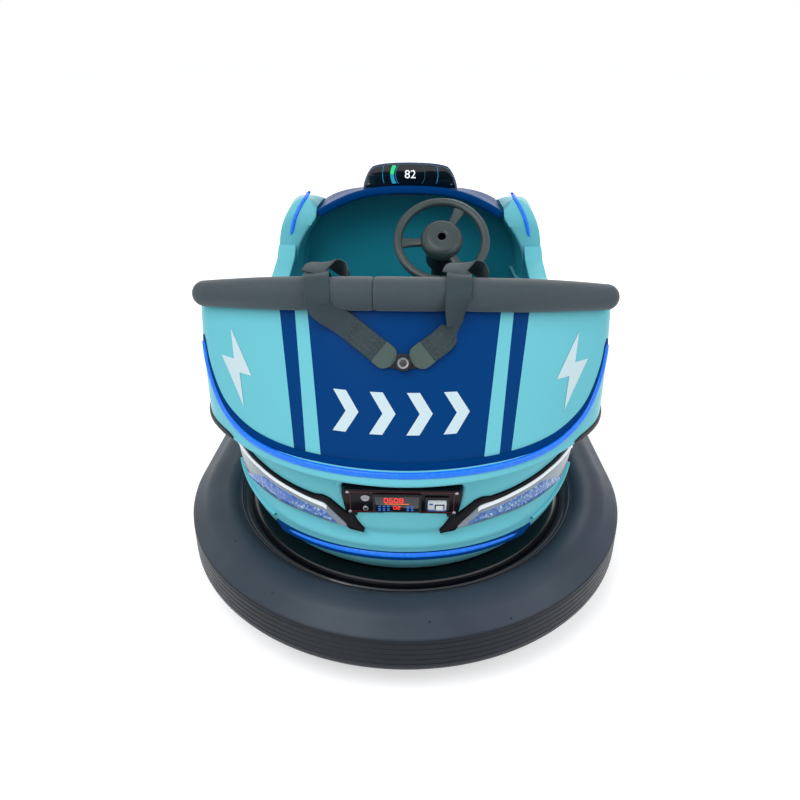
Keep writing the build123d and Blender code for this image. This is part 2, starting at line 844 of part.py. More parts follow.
# Light strips across the back: the upper one turns up both sides of the shell
turn_y = body_rear_y + strip_reach
rise_y = turn_y + strip_step
with BuildPart() as strip_band:
    with BuildSketch(Plane.YZ):
        with BuildLine():
            Line((-far, strip_z), (turn_y - strip_rise, strip_z))
            ThreePointArc((turn_y - strip_rise, strip_z), (turn_y, strip_z + strip_turn),
                          (rise_y, strip_z + strip_rise))
            Line((rise_y, strip_z + strip_rise), (rise_y - strip_lean, strip_top))
        trace(line_width=strip_width)
    extrude(amount=far, both=True)
lower_band = box_between((-lower_strip_reach, -far, lower_strip_z - strip_width / 2),
                         (lower_strip_reach, rear_y, lower_strip_z + strip_width / 2))
with BuildPart() as rear_strips:
    add(skin(shell_volume, strip_depth, strip_band.part))
    add(skin(hull_volume, strip_depth, lower_band))
save(rear_strips.part, "led_strips_rear")

# Light strips up the rear edge of each fender and over its hump
with BuildPart() as fender_strips:
    for side in sides.values():
        strip_line = [(side * (cowl_half - inset), fender_peak_z - drop) for inset, drop in fender_strip]
        with BuildPart(mode=Mode.PRIVATE) as fender_band:
            with BuildSketch(Plane.XZ.offset(-peak_y)):
                with BuildLine():
                    Polyline(*strip_line, (side * (cowl_half - fender_strip_head), far))
                trace(line_width=strip_width)
            extrude(amount=far)
        add(fender_volume(side, -strip_depth) & fender_band.part - fender_volume(side))
save(fender_strips.part, "led_strips_fender")

# Tail lights: a skin over the hull, cut to an outline that points outwards
lamp_half = tyre_rear_radius - lamp_side_inset
panel_half = panel_size[0] / 2
lamp_outline = ((lamp_half, lamp_tip_z), (lamp_half + lamp_heel, lamp_top_z),
                (panel_half + lamp_run, lamp_inner_z), (panel_half - lamp_gap, lamp_foot_z),
                (lamp_half - lamp_cut, lamp_foot_z))
with BuildPart() as tail_lights:
    for side in sides.values():
        with BuildPart(mode=Mode.PRIVATE) as lamp_block:
            with BuildSketch(Plane.XZ.offset(-rear_y)):
                with BuildLine():
                    Polyline(*[(side * x, z) for x, z in lamp_outline], close=True)
                make_face()
            extrude(amount=far)
        add(skin(hull_volume, lamp_depth, lamp_block.part))
save(tail_lights.part, "tail_lights")

# Control panel under the shell's edge, with its meter and breaker
panel_face = body_rear_y - body_inset + hull_belly_inset - panel_depth
face_plane = Plane.XZ.offset(-panel_face)
with BuildPart() as control_panel:
    with BuildSketch(face_plane):
        with Locations((0, panel_z)):
            Rectangle(*panel_size)
    extrude(amount=-panel_root)
    add(hull_volume(), mode=Mode.SUBTRACT)
save(control_panel.part, "control_panel")

with BuildPart() as meter:
    with BuildSketch(face_plane):
        with Locations((meter_x, panel_z)):
            RectangleRounded(*meter_size, meter_corner)
    extrude(amount=meter_depth)
save(meter.part, "panel_meter")

with BuildPart() as breaker:
    with BuildSketch(face_plane):
        with Locations((switch_x, panel_z)):
            Rectangle(*switch_size)
    extrude(amount=switch_depth / 2)
    with BuildSketch(face_plane.offset(switch_depth / 2)):
        with Locations((switch_x, panel_z)):
            Rectangle(switch_size[0] * 0.6, switch_size[1] * 0.4)
    extrude(amount=switch_depth / 2)
save(breaker.part, "main_breaker")

# Display pod on the hood: its outline in halves widths and heights
pod_top_z = hood_top + pod_height
pod_outline = ((136, hood_edge_z), (134, pod_top_z - 76), (116, pod_top_z - 24), (70, pod_top_z - 6))
pod_shoulder = pod_outline[-1]
with BuildPart() as display_pod:
    with BuildSketch(Plane.XZ.offset(-pod_rear_y - pod_depth)):
        with BuildLine():
            Polyline(*pod_outline)
            ThreePointArc(pod_shoulder, (0, pod_top_z), (-pod_shoulder[0], pod_shoulder[1]))
            Polyline(*[(-x, z) for x, z in reversed(pod_outline)], pod_outline[0])
        make_face()
    extrude(amount=pod_depth)
    add(hood_volume(), mode=Mode.SUBTRACT)
save(display_pod.part, "display_pod")

with BuildPart() as display_screen:
    with BuildSketch(Plane.XZ.offset(-pod_rear_y)):
        with Locations((0, pod_top_z - screen_drop)):
            RectangleRounded(*screen_size, screen_corner)
    extrude(amount=screen_depth)
save(display_screen.part, "display_screen")

# Shoulder straps over the rail, bolted to the back of the shell
shell_slope = 0.56
anchor_face_y = shell_levels[1][2] + (anchor_z - shell_waist_z) * shell_slope
anchor_y = anchor_face_y - anchor_length / 5
with BuildPart() as anchor:
    with Locations(Location((0, anchor_y, anchor_z), (90, 0, 0))):
        Cylinder(anchor_radius, anchor_length)
    add(shell_volume(), mode=Mode.SUBTRACT)
save(anchor.part, "belt_anchor")

strap_wrap = rail_radius + 2 * soft_gap + strap_thick / 2
shell_lean = Vector(0, -0.862, 0.506)


def strap(rail_x_at, heading):
    """A strap from the anchor, over the rail and down to the seat, and its buckle."""
    middle = Vector(rail_x_at, *rail_place(rail_x_at))
    turn = atan2(2 * rail_bow * rail_x_at / rail_half_span, rail_half_span)
    across = Plane(origin=(middle.X, middle.Y, 0), x_dir=(-sin(turn), cos(turn), 0),
                   z_dir=(cos(turn), sin(turn), 0))
    with BuildPart(mode=Mode.PRIVATE) as webbing:
        with BuildSketch(across):
            with BuildLine():
                ThreePointArc((-strap_wrap, middle.Z), (0, middle.Z + strap_wrap), (strap_wrap, middle.Z))
                Polyline((strap_wrap, middle.Z), (strap_wrap * 2, middle.Z - strap_drop),
                         (strap_reach, back_cushion_top + strap_clear),
                         (strap_reach, buckle_top - buckle_corner))
            trace(line_width=strap_thick)
        extrude(amount=strap_width / 2, both=True)
        low = Vector(heading * strap_width / 4, anchor_y - strap_stagger * heading, anchor_z + anchor_lift)
        high = middle + across.x_dir * -strap_wrap
        run = high - low
        face = Plane(origin=(low + high) * 0.5, x_dir=run,
                     z_dir=shell_lean - run * (shell_lean.dot(run) / run.length**2))
        with BuildSketch(face):
            Rectangle(run.length + 4, strap_width)
        extrude(amount=strap_thick / 2, both=True)
        add(rear_shell.part, mode=Mode.SUBTRACT)
        add(rail(rail_radius + soft_gap), mode=Mode.SUBTRACT)
        add(anchor.part, mode=Mode.SUBTRACT)
    with BuildPart(mode=Mode.PRIVATE) as buckle:
        with BuildSketch(across):
            with Locations((strap_reach, (buckle_top + buckle_foot) / 2)):
                RectangleRounded(buckle_thick, buckle_top - buckle_foot, buckle_corner)
        extrude(amount=buckle_width / 2, both=True)
        add(webbing.part, mode=Mode.SUBTRACT)
    return webbing.part, buckle.part


buckles = []
for (name, side), rail_x_at in zip(sides.items(), strap_x):
    webbing, buckle = strap(rail_x_at, side)
    buckles.append(buckle)
    save(webbing, f"belt_{name}")
with BuildPart() as belt_buckles:
    for buckle in buckles:
        add(buckle)
save(belt_buckles.part, "belt_buckles")

# Nose: two lamps on the hood's front
with BuildPart() as lamp_cut:
    with BuildSketch(Plane.XZ.offset(-front_y)):
        with Locations(*[(side * headlight_x, headlight_z) for side in sides.values()]):
            SlotOverall(*headlight_size)
    extrude(amount=-far)
save(skin(hood_volume, lamp_depth, lamp_cut.part), "headlights")

# Grille: a surround on the hull's nose, with level bars inside it
grille_height = grille_pitch * grille_bars + grille_frame + 2
with BuildPart() as grille_cut:
    with BuildSketch(Plane.XZ.offset(-front_y)):
        with Locations((0, grille_z)):
            RectangleRounded(grille_width, grille_height, grille_corner)
            RectangleRounded(grille_width - 2 * grille_frame, grille_height - 2 * grille_frame,
                             grille_corner - grille_frame + 2, mode=Mode.SUBTRACT)
        for row in range(1, grille_bars):
            with Locations((0, grille_z + (row - grille_bars / 2) * grille_pitch)):
                Rectangle(grille_width - grille_frame, grille_bar)
    extrude(amount=-far)
save(skin(hull_volume, lamp_depth, grille_cut.part), "front_grille")
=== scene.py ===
"""A two-seat battery bumper car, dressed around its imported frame.

Metres, in the frame of the part: +Y is forward, +X is the riders' right and +Z is up.
"""

import json
from math import asin, atan2, copysign, cos, degrees, exp, hypot, pi, radians, sin, sqrt, tan

import bmesh
import bpy
from mathutils import Matrix, Vector, noise


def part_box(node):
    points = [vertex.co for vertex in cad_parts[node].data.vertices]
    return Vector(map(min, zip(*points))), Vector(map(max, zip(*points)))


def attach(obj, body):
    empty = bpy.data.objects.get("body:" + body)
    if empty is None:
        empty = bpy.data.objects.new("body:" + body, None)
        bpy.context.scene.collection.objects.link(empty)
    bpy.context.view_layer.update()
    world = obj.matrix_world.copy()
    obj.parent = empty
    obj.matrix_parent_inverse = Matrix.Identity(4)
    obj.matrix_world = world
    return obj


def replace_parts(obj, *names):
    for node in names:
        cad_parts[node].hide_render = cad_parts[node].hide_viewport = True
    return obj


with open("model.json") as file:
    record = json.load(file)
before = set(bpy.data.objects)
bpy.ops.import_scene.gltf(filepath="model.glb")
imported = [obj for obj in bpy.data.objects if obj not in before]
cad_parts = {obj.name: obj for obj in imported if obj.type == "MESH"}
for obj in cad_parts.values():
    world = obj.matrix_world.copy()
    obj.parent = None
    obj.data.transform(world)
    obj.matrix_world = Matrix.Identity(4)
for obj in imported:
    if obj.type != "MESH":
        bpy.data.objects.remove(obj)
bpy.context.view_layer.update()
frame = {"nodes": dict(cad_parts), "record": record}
scene = bpy.context.scene
nodes = frame["nodes"]
SIDES = ((-1, "left"), (1, "right"))

# Plan of the bumper tyre: two arcs joined by tangent sides
tyre_low, tyre_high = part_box("bumper_tyre")
REAR_RADIUS = (tyre_high[0] - tyre_low[0]) / 2
FRONT_RADIUS = 0.48
REAR_Y = tyre_low[1] + REAR_RADIUS
FRONT_Y = tyre_high[1] - FRONT_RADIUS
TAPER = asin((REAR_RADIUS - FRONT_RADIUS) / (FRONT_Y - REAR_Y))


def spread(low, high, steps):
    """Evenly spaced values from low to high."""
    return [low + (high - low) * k / steps for k in range(steps + 1)]


def clamp(value, low=0, high=1):
    """A value held between two others."""
    return max(low, min(high, value))


def raised(z):
    """Straight up by a height."""
    return Vector((0, 0, z))


def ring(radius, count, start=0.0):
    """Points evenly spaced round a circle."""
    return [(radius * cos(a), radius * sin(a)) for a in [start + 2 * pi * k / count for k in range(count)]]


def heading(points, i):
    """The direction of a line of points at one of them."""
    return (points[min(i + 1, len(points) - 1)] - points[max(i - 1, 0)]).normalized()


def steps_between(table, x):
    """A value read off a table of (x, value) rows by straight lines."""
    if x <= table[0][0]:
        return table[0][1]
    for (x0, v0), (x1, v1) in zip(table, table[1:]):
        if x <= x1:
            return v0 + (v1 - v0) * (x - x0) / (x1 - x0)
    return table[-1][1]


def oval(inset, count):
    """Points around the tyre's plan moved inwards by inset, with their outward normals, evenly spaced."""
    rear = REAR_RADIUS - inset
    front = FRONT_RADIUS - inset
    side = (FRONT_Y - REAR_Y) * cos(TAPER)
    runs = ((rear * (pi + 2 * TAPER), REAR_Y, rear, pi - TAPER, True), (side, REAR_Y, rear, TAPER, False),
            (front * (pi - 2 * TAPER), FRONT_Y, front, TAPER, True),
            (side, FRONT_Y, front, pi - TAPER, False))
    total = sum(run[0] for run in runs)
    found = []
    for i in range(count):
        s = total * i / count
        for length, centre_y, radius, start, round_run in runs:
            if s < length:
                break
            s -= length
        a = start + s / radius if round_run else start
        ahead = 0 if round_run else s
        place = Vector((radius * cos(a) - ahead * sin(a), centre_y + radius * sin(a) + ahead * cos(a), 0))
        found.append((place, Vector((cos(a), sin(a), 0))))
    return found


def linked(name, data):
    """A new object in the scene from its data."""
    obj = bpy.data.objects.new(name, data)
    scene.collection.objects.link(obj)
    return obj


def shade(obj, sharp):
    """Smooth shading but for edges sharper than an angle in degrees."""
    obj.data.shade_smooth()
    obj.data.set_sharp_from_angle(angle=radians(sharp))


def mesh_object(name, verts, faces, sharp=35):
    """A new object from vertices and faces: doubled points merged, faces outwards, shaded."""
    mesh = bpy.data.meshes.new(name)
    mesh.from_pydata([tuple(v) for v in verts], [], faces)
    mesh.update()
    obj = linked(name, mesh)
    work = bmesh.new()
    work.from_mesh(mesh)
    bmesh.ops.remove_doubles(work, verts=work.verts, dist=1e-6)
    bmesh.ops.recalc_face_normals(work, faces=work.faces)
    work.to_mesh(mesh)
    work.free()
    shade(obj, sharp)
    return obj


def lattice(name, rows, closed, wrapped, sharp):
    """A mesh through rows of points; closed joins the last row to the first, wrapped each row's ends."""
    width, count = len(rows[0]), len(rows)
    faces = []
    for i in range(count if closed else count - 1):
        k = (i + 1) % count
        for j in range(width if wrapped else width - 1):
            m = (j + 1) % width
            faces.append((i * width + j, k * width + j, k * width + m, i * width + m))
    if wrapped and not closed:
        faces.append(tuple(range(width)))
        faces.append(tuple((count - 1) * width + j for j in reversed(range(width))))
    return mesh_object(name, [p for row in rows for p in row], faces, sharp)


def sheet_mesh(name, rows, closed=False):
    """An open sheet through rows of points."""
    return lattice(name, rows, closed, False, 35)


def tube_mesh(name, loops, closed=False, sharp=35):
    """A solid through closed loops of points, with flat ends unless the path closes."""
    return lattice(name, loops, closed, True, sharp)


def hoop(name, profile, count, sharp):
    """A solid all round the tyre's plan from a section of (inset, height) points."""
    loops = [[p - n * inset + raised(z) for inset, z in profile] for p, n in oval(0, count)]
    return tube_mesh(name, loops, closed=True, sharp=sharp)


def modified(obj, kind, **settings):
    """Adds a modifier with its settings."""
    modifier = obj.modifiers.new(kind.lower(), kind)
    for key, value in settings.items():
        setattr(modifier, key, value)
    return modifier


def apply_modifiers(obj):
    """Bakes an object's modifiers into its mesh."""
    graph = bpy.context.evaluated_depsgraph_get()
    mesh = bpy.data.meshes.new_from_object(obj.evaluated_get(graph))
    obj.modifiers.clear()
    old = obj.data
    obj.data = mesh
    bpy.data.meshes.remove(old)


def bevel_edges(obj, width, segments, angle, sharp):
    """Rounds the edges sharper than an angle in degrees, bakes the modifiers and shades the result."""
    modified(obj, "BEVEL", width=width, segments=segments, limit_method="ANGLE", angle_limit=radians(angle))
    apply_modifiers(obj)
    shade(obj, sharp)


def thicken(obj, thickness, bevel):
    """Makes a solid wall of a sheet, inwards, with rounded rims."""
    modified(obj, "SOLIDIFY", thickness=thickness, offset=-1, use_even_offset=True)
    bevel_edges(obj, bevel, 3, 50, 35)


def lagrange(x, table):
    """The parabola through three rows of (x, value)."""
    total = 0
    for i, (xi, vi) in enumerate(table):
        term = vi
        for k, (xk, _) in enumerate(table):
            if k != i:
                term *= (x - xk) / (xi - xk)
        total += term
    return total


def resample(points, count):
    """Points evenly spaced along a polyline."""
    lengths = [0.0]
    for a, b in zip(points, points[1:]):
        lengths.append(lengths[-1] + (b - a).length)
    found = []
    k = 0
    for i in range(count):
        s = lengths[-1] * i / (count - 1)
        while k < len(points) - 2 and lengths[k + 1] < s:
            k += 1
        span = lengths[k + 1] - lengths[k]
        found.append(points[k].lerp(points[k + 1], (s - lengths[k]) / span if span else 0))
    return found


def smooth_path(points, steps):
    """A Catmull-Rom curve through 2-D or 3-D points."""
    found = []
    for i in range(len(points) - 1):
        p0 = points[max(i - 1, 0)]
        p1, p2 = points[i], points[i + 1]
        p3 = points[min(i + 2, len(points) - 1)]
        for k in range(steps):
            t = k / steps
            found.append(0.5 * (2 * p1 + (p2 - p0) * t + (2 * p0 - 5 * p1 + 4 * p2 - p3) * t * t
                                + (3 * p1 - p0 - 3 * p2 + p3) * t ** 3))
    found.append(points[-1])
    return found


def rounded(points, radii, steps=8):
    """An open polyline with each inner corner replaced by an arc: radii has one value a point."""
    found = [points[0]]
    for i in range(1, len(points) - 1):
        here = points[i]
        back = (points[i - 1] - here).normalized()
        ahead = (points[i + 1] - here).normalized()
        half = back.angle(ahead) / 2
        if radii[i] == 0 or half > radians(89.5):
            found.append(here)
            continue
        reach = radii[i] / tan(half)
        start = here + back * reach
        end = here + ahead * reach
        centre = here + (back + ahead).normalized() * (radii[i] / sin(half))
        first = start - centre
        axis = first.cross(end - centre)
        turn = first.angle(end - centre)
        for k in range(steps + 1):
            found.append(centre + Matrix.Rotation(turn * k / steps, 3, axis) @ first)
    found.append(points[-1])
    return found


# Lower hull

HULL_FOOT = 0.184
HULL_TOP = 0.480
HULL_BELLY = 0.300
HULL_WALL = 0.0170
BODY_INSET = 0.100
BODY_WALL = 0.056
BOWL = ((0.184, 0.200), (0.232, 0.162), (0.300, 0.141))
HULL_LEAN = 0.003


def hull_inset(z):
    """How far inside the tyre's plan the hull's outer face stands at a height."""
    if z < HULL_BELLY:
        return lagrange(z, BOWL)
    return BOWL[-1][1] - HULL_LEAN * (z - HULL_BELLY) / (HULL_TOP - HULL_BELLY)


# Relief across the hull's back: height, place and width of each swell
HULL_SWELLS = ((0.0045, 0.300, 0.011), (-0.0060, 0.325, 0.012))


def lower_hull():
    """The bowl under the cockpit, with a swell and a hollow that fade out towards the sides."""
    rows = []
    for p, n in oval(0, 240):
        fade = clamp((47 - abs(degrees(atan2(p.x, REAR_Y - p.y)))) / 14)
        line = []
        for z in spread(HULL_FOOT, HULL_TOP, 64):
            swell = sum(depth * exp(-((z - at) / width) ** 2) for depth, at, width in HULL_SWELLS)
            line.append(p - n * (hull_inset(z) - fade * swell) + raised(z))
        rows.append(line)
    hull = sheet_mesh("lower_hull_skin", rows, closed=True)
    thicken(hull, HULL_WALL, 0.004)
    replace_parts(hull, "lower_hull")
    return hull


# Rear shell

SHELL_LEVELS = ((0.480, 0.450, -0.800, 0.290, 0.210),
                (0.600, 0.446, -0.725, 0.190, 0.130),
                (0.830, 0.438, -0.590, 0.105, 0.060))
SHELL_FRONT = -0.420
RAIL_MID = Vector((0, -0.610, 0.813))
RAIL_END = Vector((0.418, -0.530, 0.777))
RAIL_RADIUS = 0.034
SHELL_LIMIT = 0.82
SHELL_LEVEL_STEPS = 40
SHELL_TOP = 0.789
SHELL_TOP_END = 0.747


def shell_outline(z, count, inset=0.0):
    """The shell's plan at a height, from the right front end round the back to the left one."""
    half, back, bow, corner = (lagrange(z, [(row[0], row[k]) for row in SHELL_LEVELS]) for k in (1, 2, 3, 4))
    half -= inset
    back += inset
    corner = max(corner - inset, 0.02)
    big = (half * half + bow * bow) / (2 * bow)
    centre_y = back + big
    corner_x = half - corner
    corner_y = centre_y - sqrt((big - corner) ** 2 - corner_x ** 2)
    meet = atan2(corner_y - centre_y, corner_x)
    right = [Vector((half, SHELL_FRONT, z))]
    for a in spread(0, meet, 16):
        right.append(Vector((corner_x + corner * cos(a), corner_y + corner * sin(a), z)))
    for a in spread(meet, -pi / 2, 40)[1:]:
        right.append(Vector((big * cos(a), centre_y + big * sin(a), z)))
    left = [Vector((-p.x, p.y, p.z)) for p in reversed(right[:-1])]
    return resample(right + left, count)


def shell_point(x, z, lift=0.0):
    """A place on the shell's outer face at a distance from the centre line and a height, lifted outwards."""
    line = shell_outline(z, 241, -lift)
    half = line[:121] if x >= 0 else line[120:]
    best = min(range(len(half) - 1), key=lambda i: abs((half[i].x + half[i + 1].x) / 2 - x))
    a, b = half[best], half[best + 1]
    share = (x - a.x) / (b.x - a.x) if abs(b.x - a.x) > 1e-9 else 0
    return a.lerp(b, clamp(share))


def shell_top(x):
    """Height of the shell's top edge."""
    return SHELL_TOP - (SHELL_TOP - SHELL_TOP_END) * (x / 0.45) ** 2


def rear_shell():
    """The striped backrest shell."""
    count = 181
    outlines = [shell_outline(z, count) for z in spread(HULL_TOP, SHELL_LIMIT, SHELL_LEVEL_STEPS)]
    rows = []
    for k in range(count):
        line = [outline[k] for outline in outlines]
        top = shell_top(line[-6].x)
        row = []
        for z in spread(HULL_TOP, top, 22):
            f = (z - HULL_TOP) / (SHELL_LIMIT - HULL_TOP) * SHELL_LEVEL_STEPS
            j = min(int(f), SHELL_LEVEL_STEPS - 1)
            row.append(line[j].lerp(line[j + 1], f - j))
        rows.append(row)
    shell = sheet_mesh("rear_shell_skin", rows)
    thicken(shell, BODY_WALL, bevel=0.008)
    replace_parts(shell, "rear_shell")
    return shell


# Side walls

SILL = 0.528
COWL_REAR = 0.318
BODY_FRONT = 0.40
BODY_TAPER = asin((REAR_RADIUS - BODY_INSET - BODY_FRONT) / (FRONT_Y - REAR_Y))
ENTRY_LINE = (Vector((0, SHELL_FRONT, SHELL_TOP_END + 0.006)), Vector((0, -0.390, SHELL_TOP_END)),
              Vector((0, -0.270, SILL)), Vector((0, 0.200, SILL + 0.004)),
              Vector((0, 0.285, 0.558)), Vector((0, COWL_REAR, 0.592)))


def side_wall(side, name):
    """One wall beside the riders: low at the entry, rising to the shell and the fender."""
    edge = resample(rounded(ENTRY_LINE, (0, 0.04, 0.09, 0.05, 0.04, 0)), 90)
    along = Vector((-sin(BODY_TAPER), cos(BODY_TAPER), 0))
    base = Vector((0, REAR_Y, 0)) + Vector((along.y, -along.x, 0)) * (REAR_RADIUS - BODY_INSET)
    rows = []
    for e in edge:
        foot = base + along * ((e.y - base.y) / along.y)
        rows.append([Vector((side * foot.x, foot.y, z)) for z in spread(HULL_TOP, e.z, 10)])
    wall = sheet_mesh(f"side_wall_skin_{name}", rows)
    if wall.data.polygons[0].normal.x * side < 0:
        wall.data.flip_normals()
    thicken(wall, BODY_WALL, 0.020)
    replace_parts(wall, f"side_wall_{name}")
    return wall


# Hood and fenders

HOOD_HALF = 0.285
HOOD_TOP = 0.7815
COWL_WALL = 0.024
SHOULDER_ROUND = 0.032


def circle_height(x, a, b, c):
    """Height at x on the upper arc through three (x, height) points."""
    (ax, ay), (bx, by), (cx, cy) = a, b, c
    d = 2 * (ax * (by - cy) + bx * (cy - ay) + cx * (ay - by))
    sa, sb, sc = ax * ax + ay * ay, bx * bx + by * by, cx * cx + cy * cy
    ux = (sa * (by - cy) + sb * (cy - ay) + sc * (ay - by)) / d
    uy = (sa * (cx - bx) + sb * (ax - cx) + sc * (bx - ax)) / d
    radius = hypot(ax - ux, ay - uy)
    return uy + sqrt(max(radius ** 2 - (x - ux) ** 2, 0))


def soft_min(a, b, blend):
    """The smaller of two values, with a rounded change between them."""
    h = max(blend - abs(a - b), 0) / blend
    return min(a, b) - h * h * blend / 4


def nose_run(y, start, shoulder, brow, nose=(0.834, 0.480)):
    """A side profile: a straight run to the shoulder, then an arc through the brow to the nose."""
    if y < shoulder[0]:
        return start[1] + (shoulder[1] - start[1]) * (y - start[0]) / (shoulder[0] - start[0])
    return circle_height(min(y, nose[0]), shoulder, brow, nose)


def body_half(y):
    """Half width of the front body's upright sides."""
    meet_y = FRONT_Y + BODY_FRONT * sin(BODY_TAPER)
    if y > meet_y:
        return sqrt(max(BODY_FRONT ** 2 - (y - FRONT_Y) ** 2, 0))
    return BODY_FRONT * cos(BODY_TAPER) + (meet_y - y) * tan(BODY_TAPER)


def edge_distance(x, y):
    """How far a place lies inside the front body's plan."""
    if y > FRONT_Y:
        return BODY_FRONT - hypot(x, y - FRONT_Y)
    return (body_half(y) - abs(x)) * cos(BODY_TAPER)


def shoulder_round(z, x, y):
    """Rounds a roof height down towards the edge of the plan."""
    inside = SHOULDER_ROUND - max(min(edge_distance(x, y), SHOULDER_ROUND), 0)
    return z - SHOULDER_ROUND + sqrt(max(SHOULDER_ROUND ** 2 - inside ** 2, 0))


def hood_height(x, y):
    """Height of the hood's outer face."""
    arch = circle_height(abs(x), (-HOOD_HALF, 0.695), (0, HOOD_TOP), (HOOD_HALF, 0.695))
    run = nose_run(y, (COWL_REAR, HOOD_TOP), (0.440, 0.738), (0.650, 0.653))
    arch -= 0.40 * (HOOD_TOP - run)
    return max(shoulder_round(soft_min(arch, run, 0.03), x, y), HULL_TOP + 0.004)


def fender_height(x, y):
    """Height of a fender's outer face: a hump that rises steeply from the cockpit's lip."""
    a = abs(x)
    if a < 0.340:
        section = circle_height(a, (0.285, 0.708), (0.308, 0.734), (0.340, 0.722))
    elif a < 0.4045:
        section = circle_height(a, (0.340, 0.722), (0.385, 0.672), (0.405, 0.605))
    else:
        section = 0.605
    section = soft_min(section, hood_height(HOOD_HALF, y) + 0.007 + 1.1 * max(a - HOOD_HALF, 0), 0.02)
    if y < 0.370:
        run = circle_height(y, (COWL_REAR, 0.605), (0.330, 0.690), (0.370, 0.730))
    else:
        run = nose_run(y, (0.370, 0.730), (0.440, 0.706), (0.650, 0.632))
    return shoulder_round(soft_min(section, run, 0.03), x, y)


def hood():
    """The navy hood: one proud plate from the cockpit's rounded lip to the nose."""
    rows = []
    for i in range(73):
        x = HOOD_HALF * (i - 36) / 36
        end_y = FRONT_Y + sqrt(BODY_FRONT ** 2 - x * x)
        line = [Vector((x, y, hood_height(x, y))) for y in
                [COWL_REAR + (end_y - COWL_REAR) * sin(a) for a in spread(0, pi / 2, 60)]]
        foot = line[-1]
        line += [Vector((x, end_y, z)) for z in spread(foot.z, HULL_TOP, 10)[1:]]
        rows.append(resample(line, 64))
    skin = sheet_mesh("hood_skin", rows)
    if skin.data.polygons[64 * 18].normal.z < 0:
        skin.data.flip_normals()
    thicken(skin, COWL_WALL, bevel=0.009)
    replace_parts(skin, "hood")
    return skin


COAMING = ((0.480, 0.3535), (0.530, 0.3530), (0.560, 0.3500), (0.590, 0.3400),
           (0.620, 0.3240), (0.645, 0.3070), (0.662, 0.2940), (0.672, 0.2865))
FENDER_STATIONS = (0.318, 0.3185, 0.3195, 0.321, 0.323, 0.3255, 0.328, 0.331, 0.335, 0.340, 0.346,
                   0.353, 0.361)


def fender(side, name):
    """One fender: a hump between the hood and the body's side, open into the cockpit along the coaming."""
    stations = list(FENDER_STATIONS) + spread(0.370, 0.6985, 34)
    loops = []
    for y in stations:
        shrink = 0.010 * (1 - sqrt(max(1 - (1 - min((y - 0.318) / 0.010, 1)) ** 2, 0)))
        half = body_half(y) - shrink
        inner = HOOD_HALF + 0.0015
        move = body_half(y) - body_half(COWL_REAR) - 0.012 * min((y - 0.318) / 0.04, 1)
        top = min(fender_height(inner, y) - 0.010, 0.672)
        top = min(top, nose_run(min(y, 0.778), (COWL_REAR, 0.746), (0.440, 0.709), (0.633, 0.628),
                                (0.778, 0.480)))
        top = max(top, 0.484)
        near = max(inner, steps_between(COAMING, top) + move)
        xs = [near + (half - near) * sin(a) for a in spread(0, pi / 2, 26)]
        roof = [(x, fender_height(x, y) - shrink) for x in xs]
        wall = [(half, z) for z in spread(roof[-1][1], HULL_TOP, 8)[1:]]
        under = []
        for z in spread(HULL_TOP + 0.0005, top, 15):
            x = max(inner, steps_between(COAMING, z) + move) + shrink
            under.append((min(x, half - 0.012), z))
        loops.append([Vector((side * x, y, z)) for x, z in roof + wall + under])
    piece = tube_mesh(f"fender_skin_{name}", loops, sharp=42)
    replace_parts(piece, f"fender_{name}")
    return piece


# Padded rail

def rail_path(count):
    """The middle line of the padded rail as points from left to right: one arc through three places."""
    left = Vector((-RAIL_END.x, RAIL_END.y, RAIL_END.z))
    ab = RAIL_MID - left
    ac = RAIL_END - left
    normal = ab.cross(ac)
    to_centre = (normal.cross(ab) * ac.length_squared + ac.cross(normal) * ab.length_squared)
    to_centre /= 2 * normal.length_squared
    centre = left + to_centre
    start = left - centre
    turn = start.angle(RAIL_END - centre)
    axis = start.cross(RAIL_END - centre).normalized()
    return [centre + Matrix.Rotation(turn * k / (count - 1), 3, axis) @ start for k in range(count)]


def frames_along(points):
    """Each point with its direction and two square directions, the second as near to up as it can be."""
    found = []
    for i, p in enumerate(points):
        along = heading(points, i)
        side = along.cross(Vector((0, 0, 1))).normalized()
        found.append((p, along, side, side.cross(along)))
    return found


SEAM_X = -0.060
STRAP_PRESS = ((-0.165, 0.030), (0.100, 0.030))


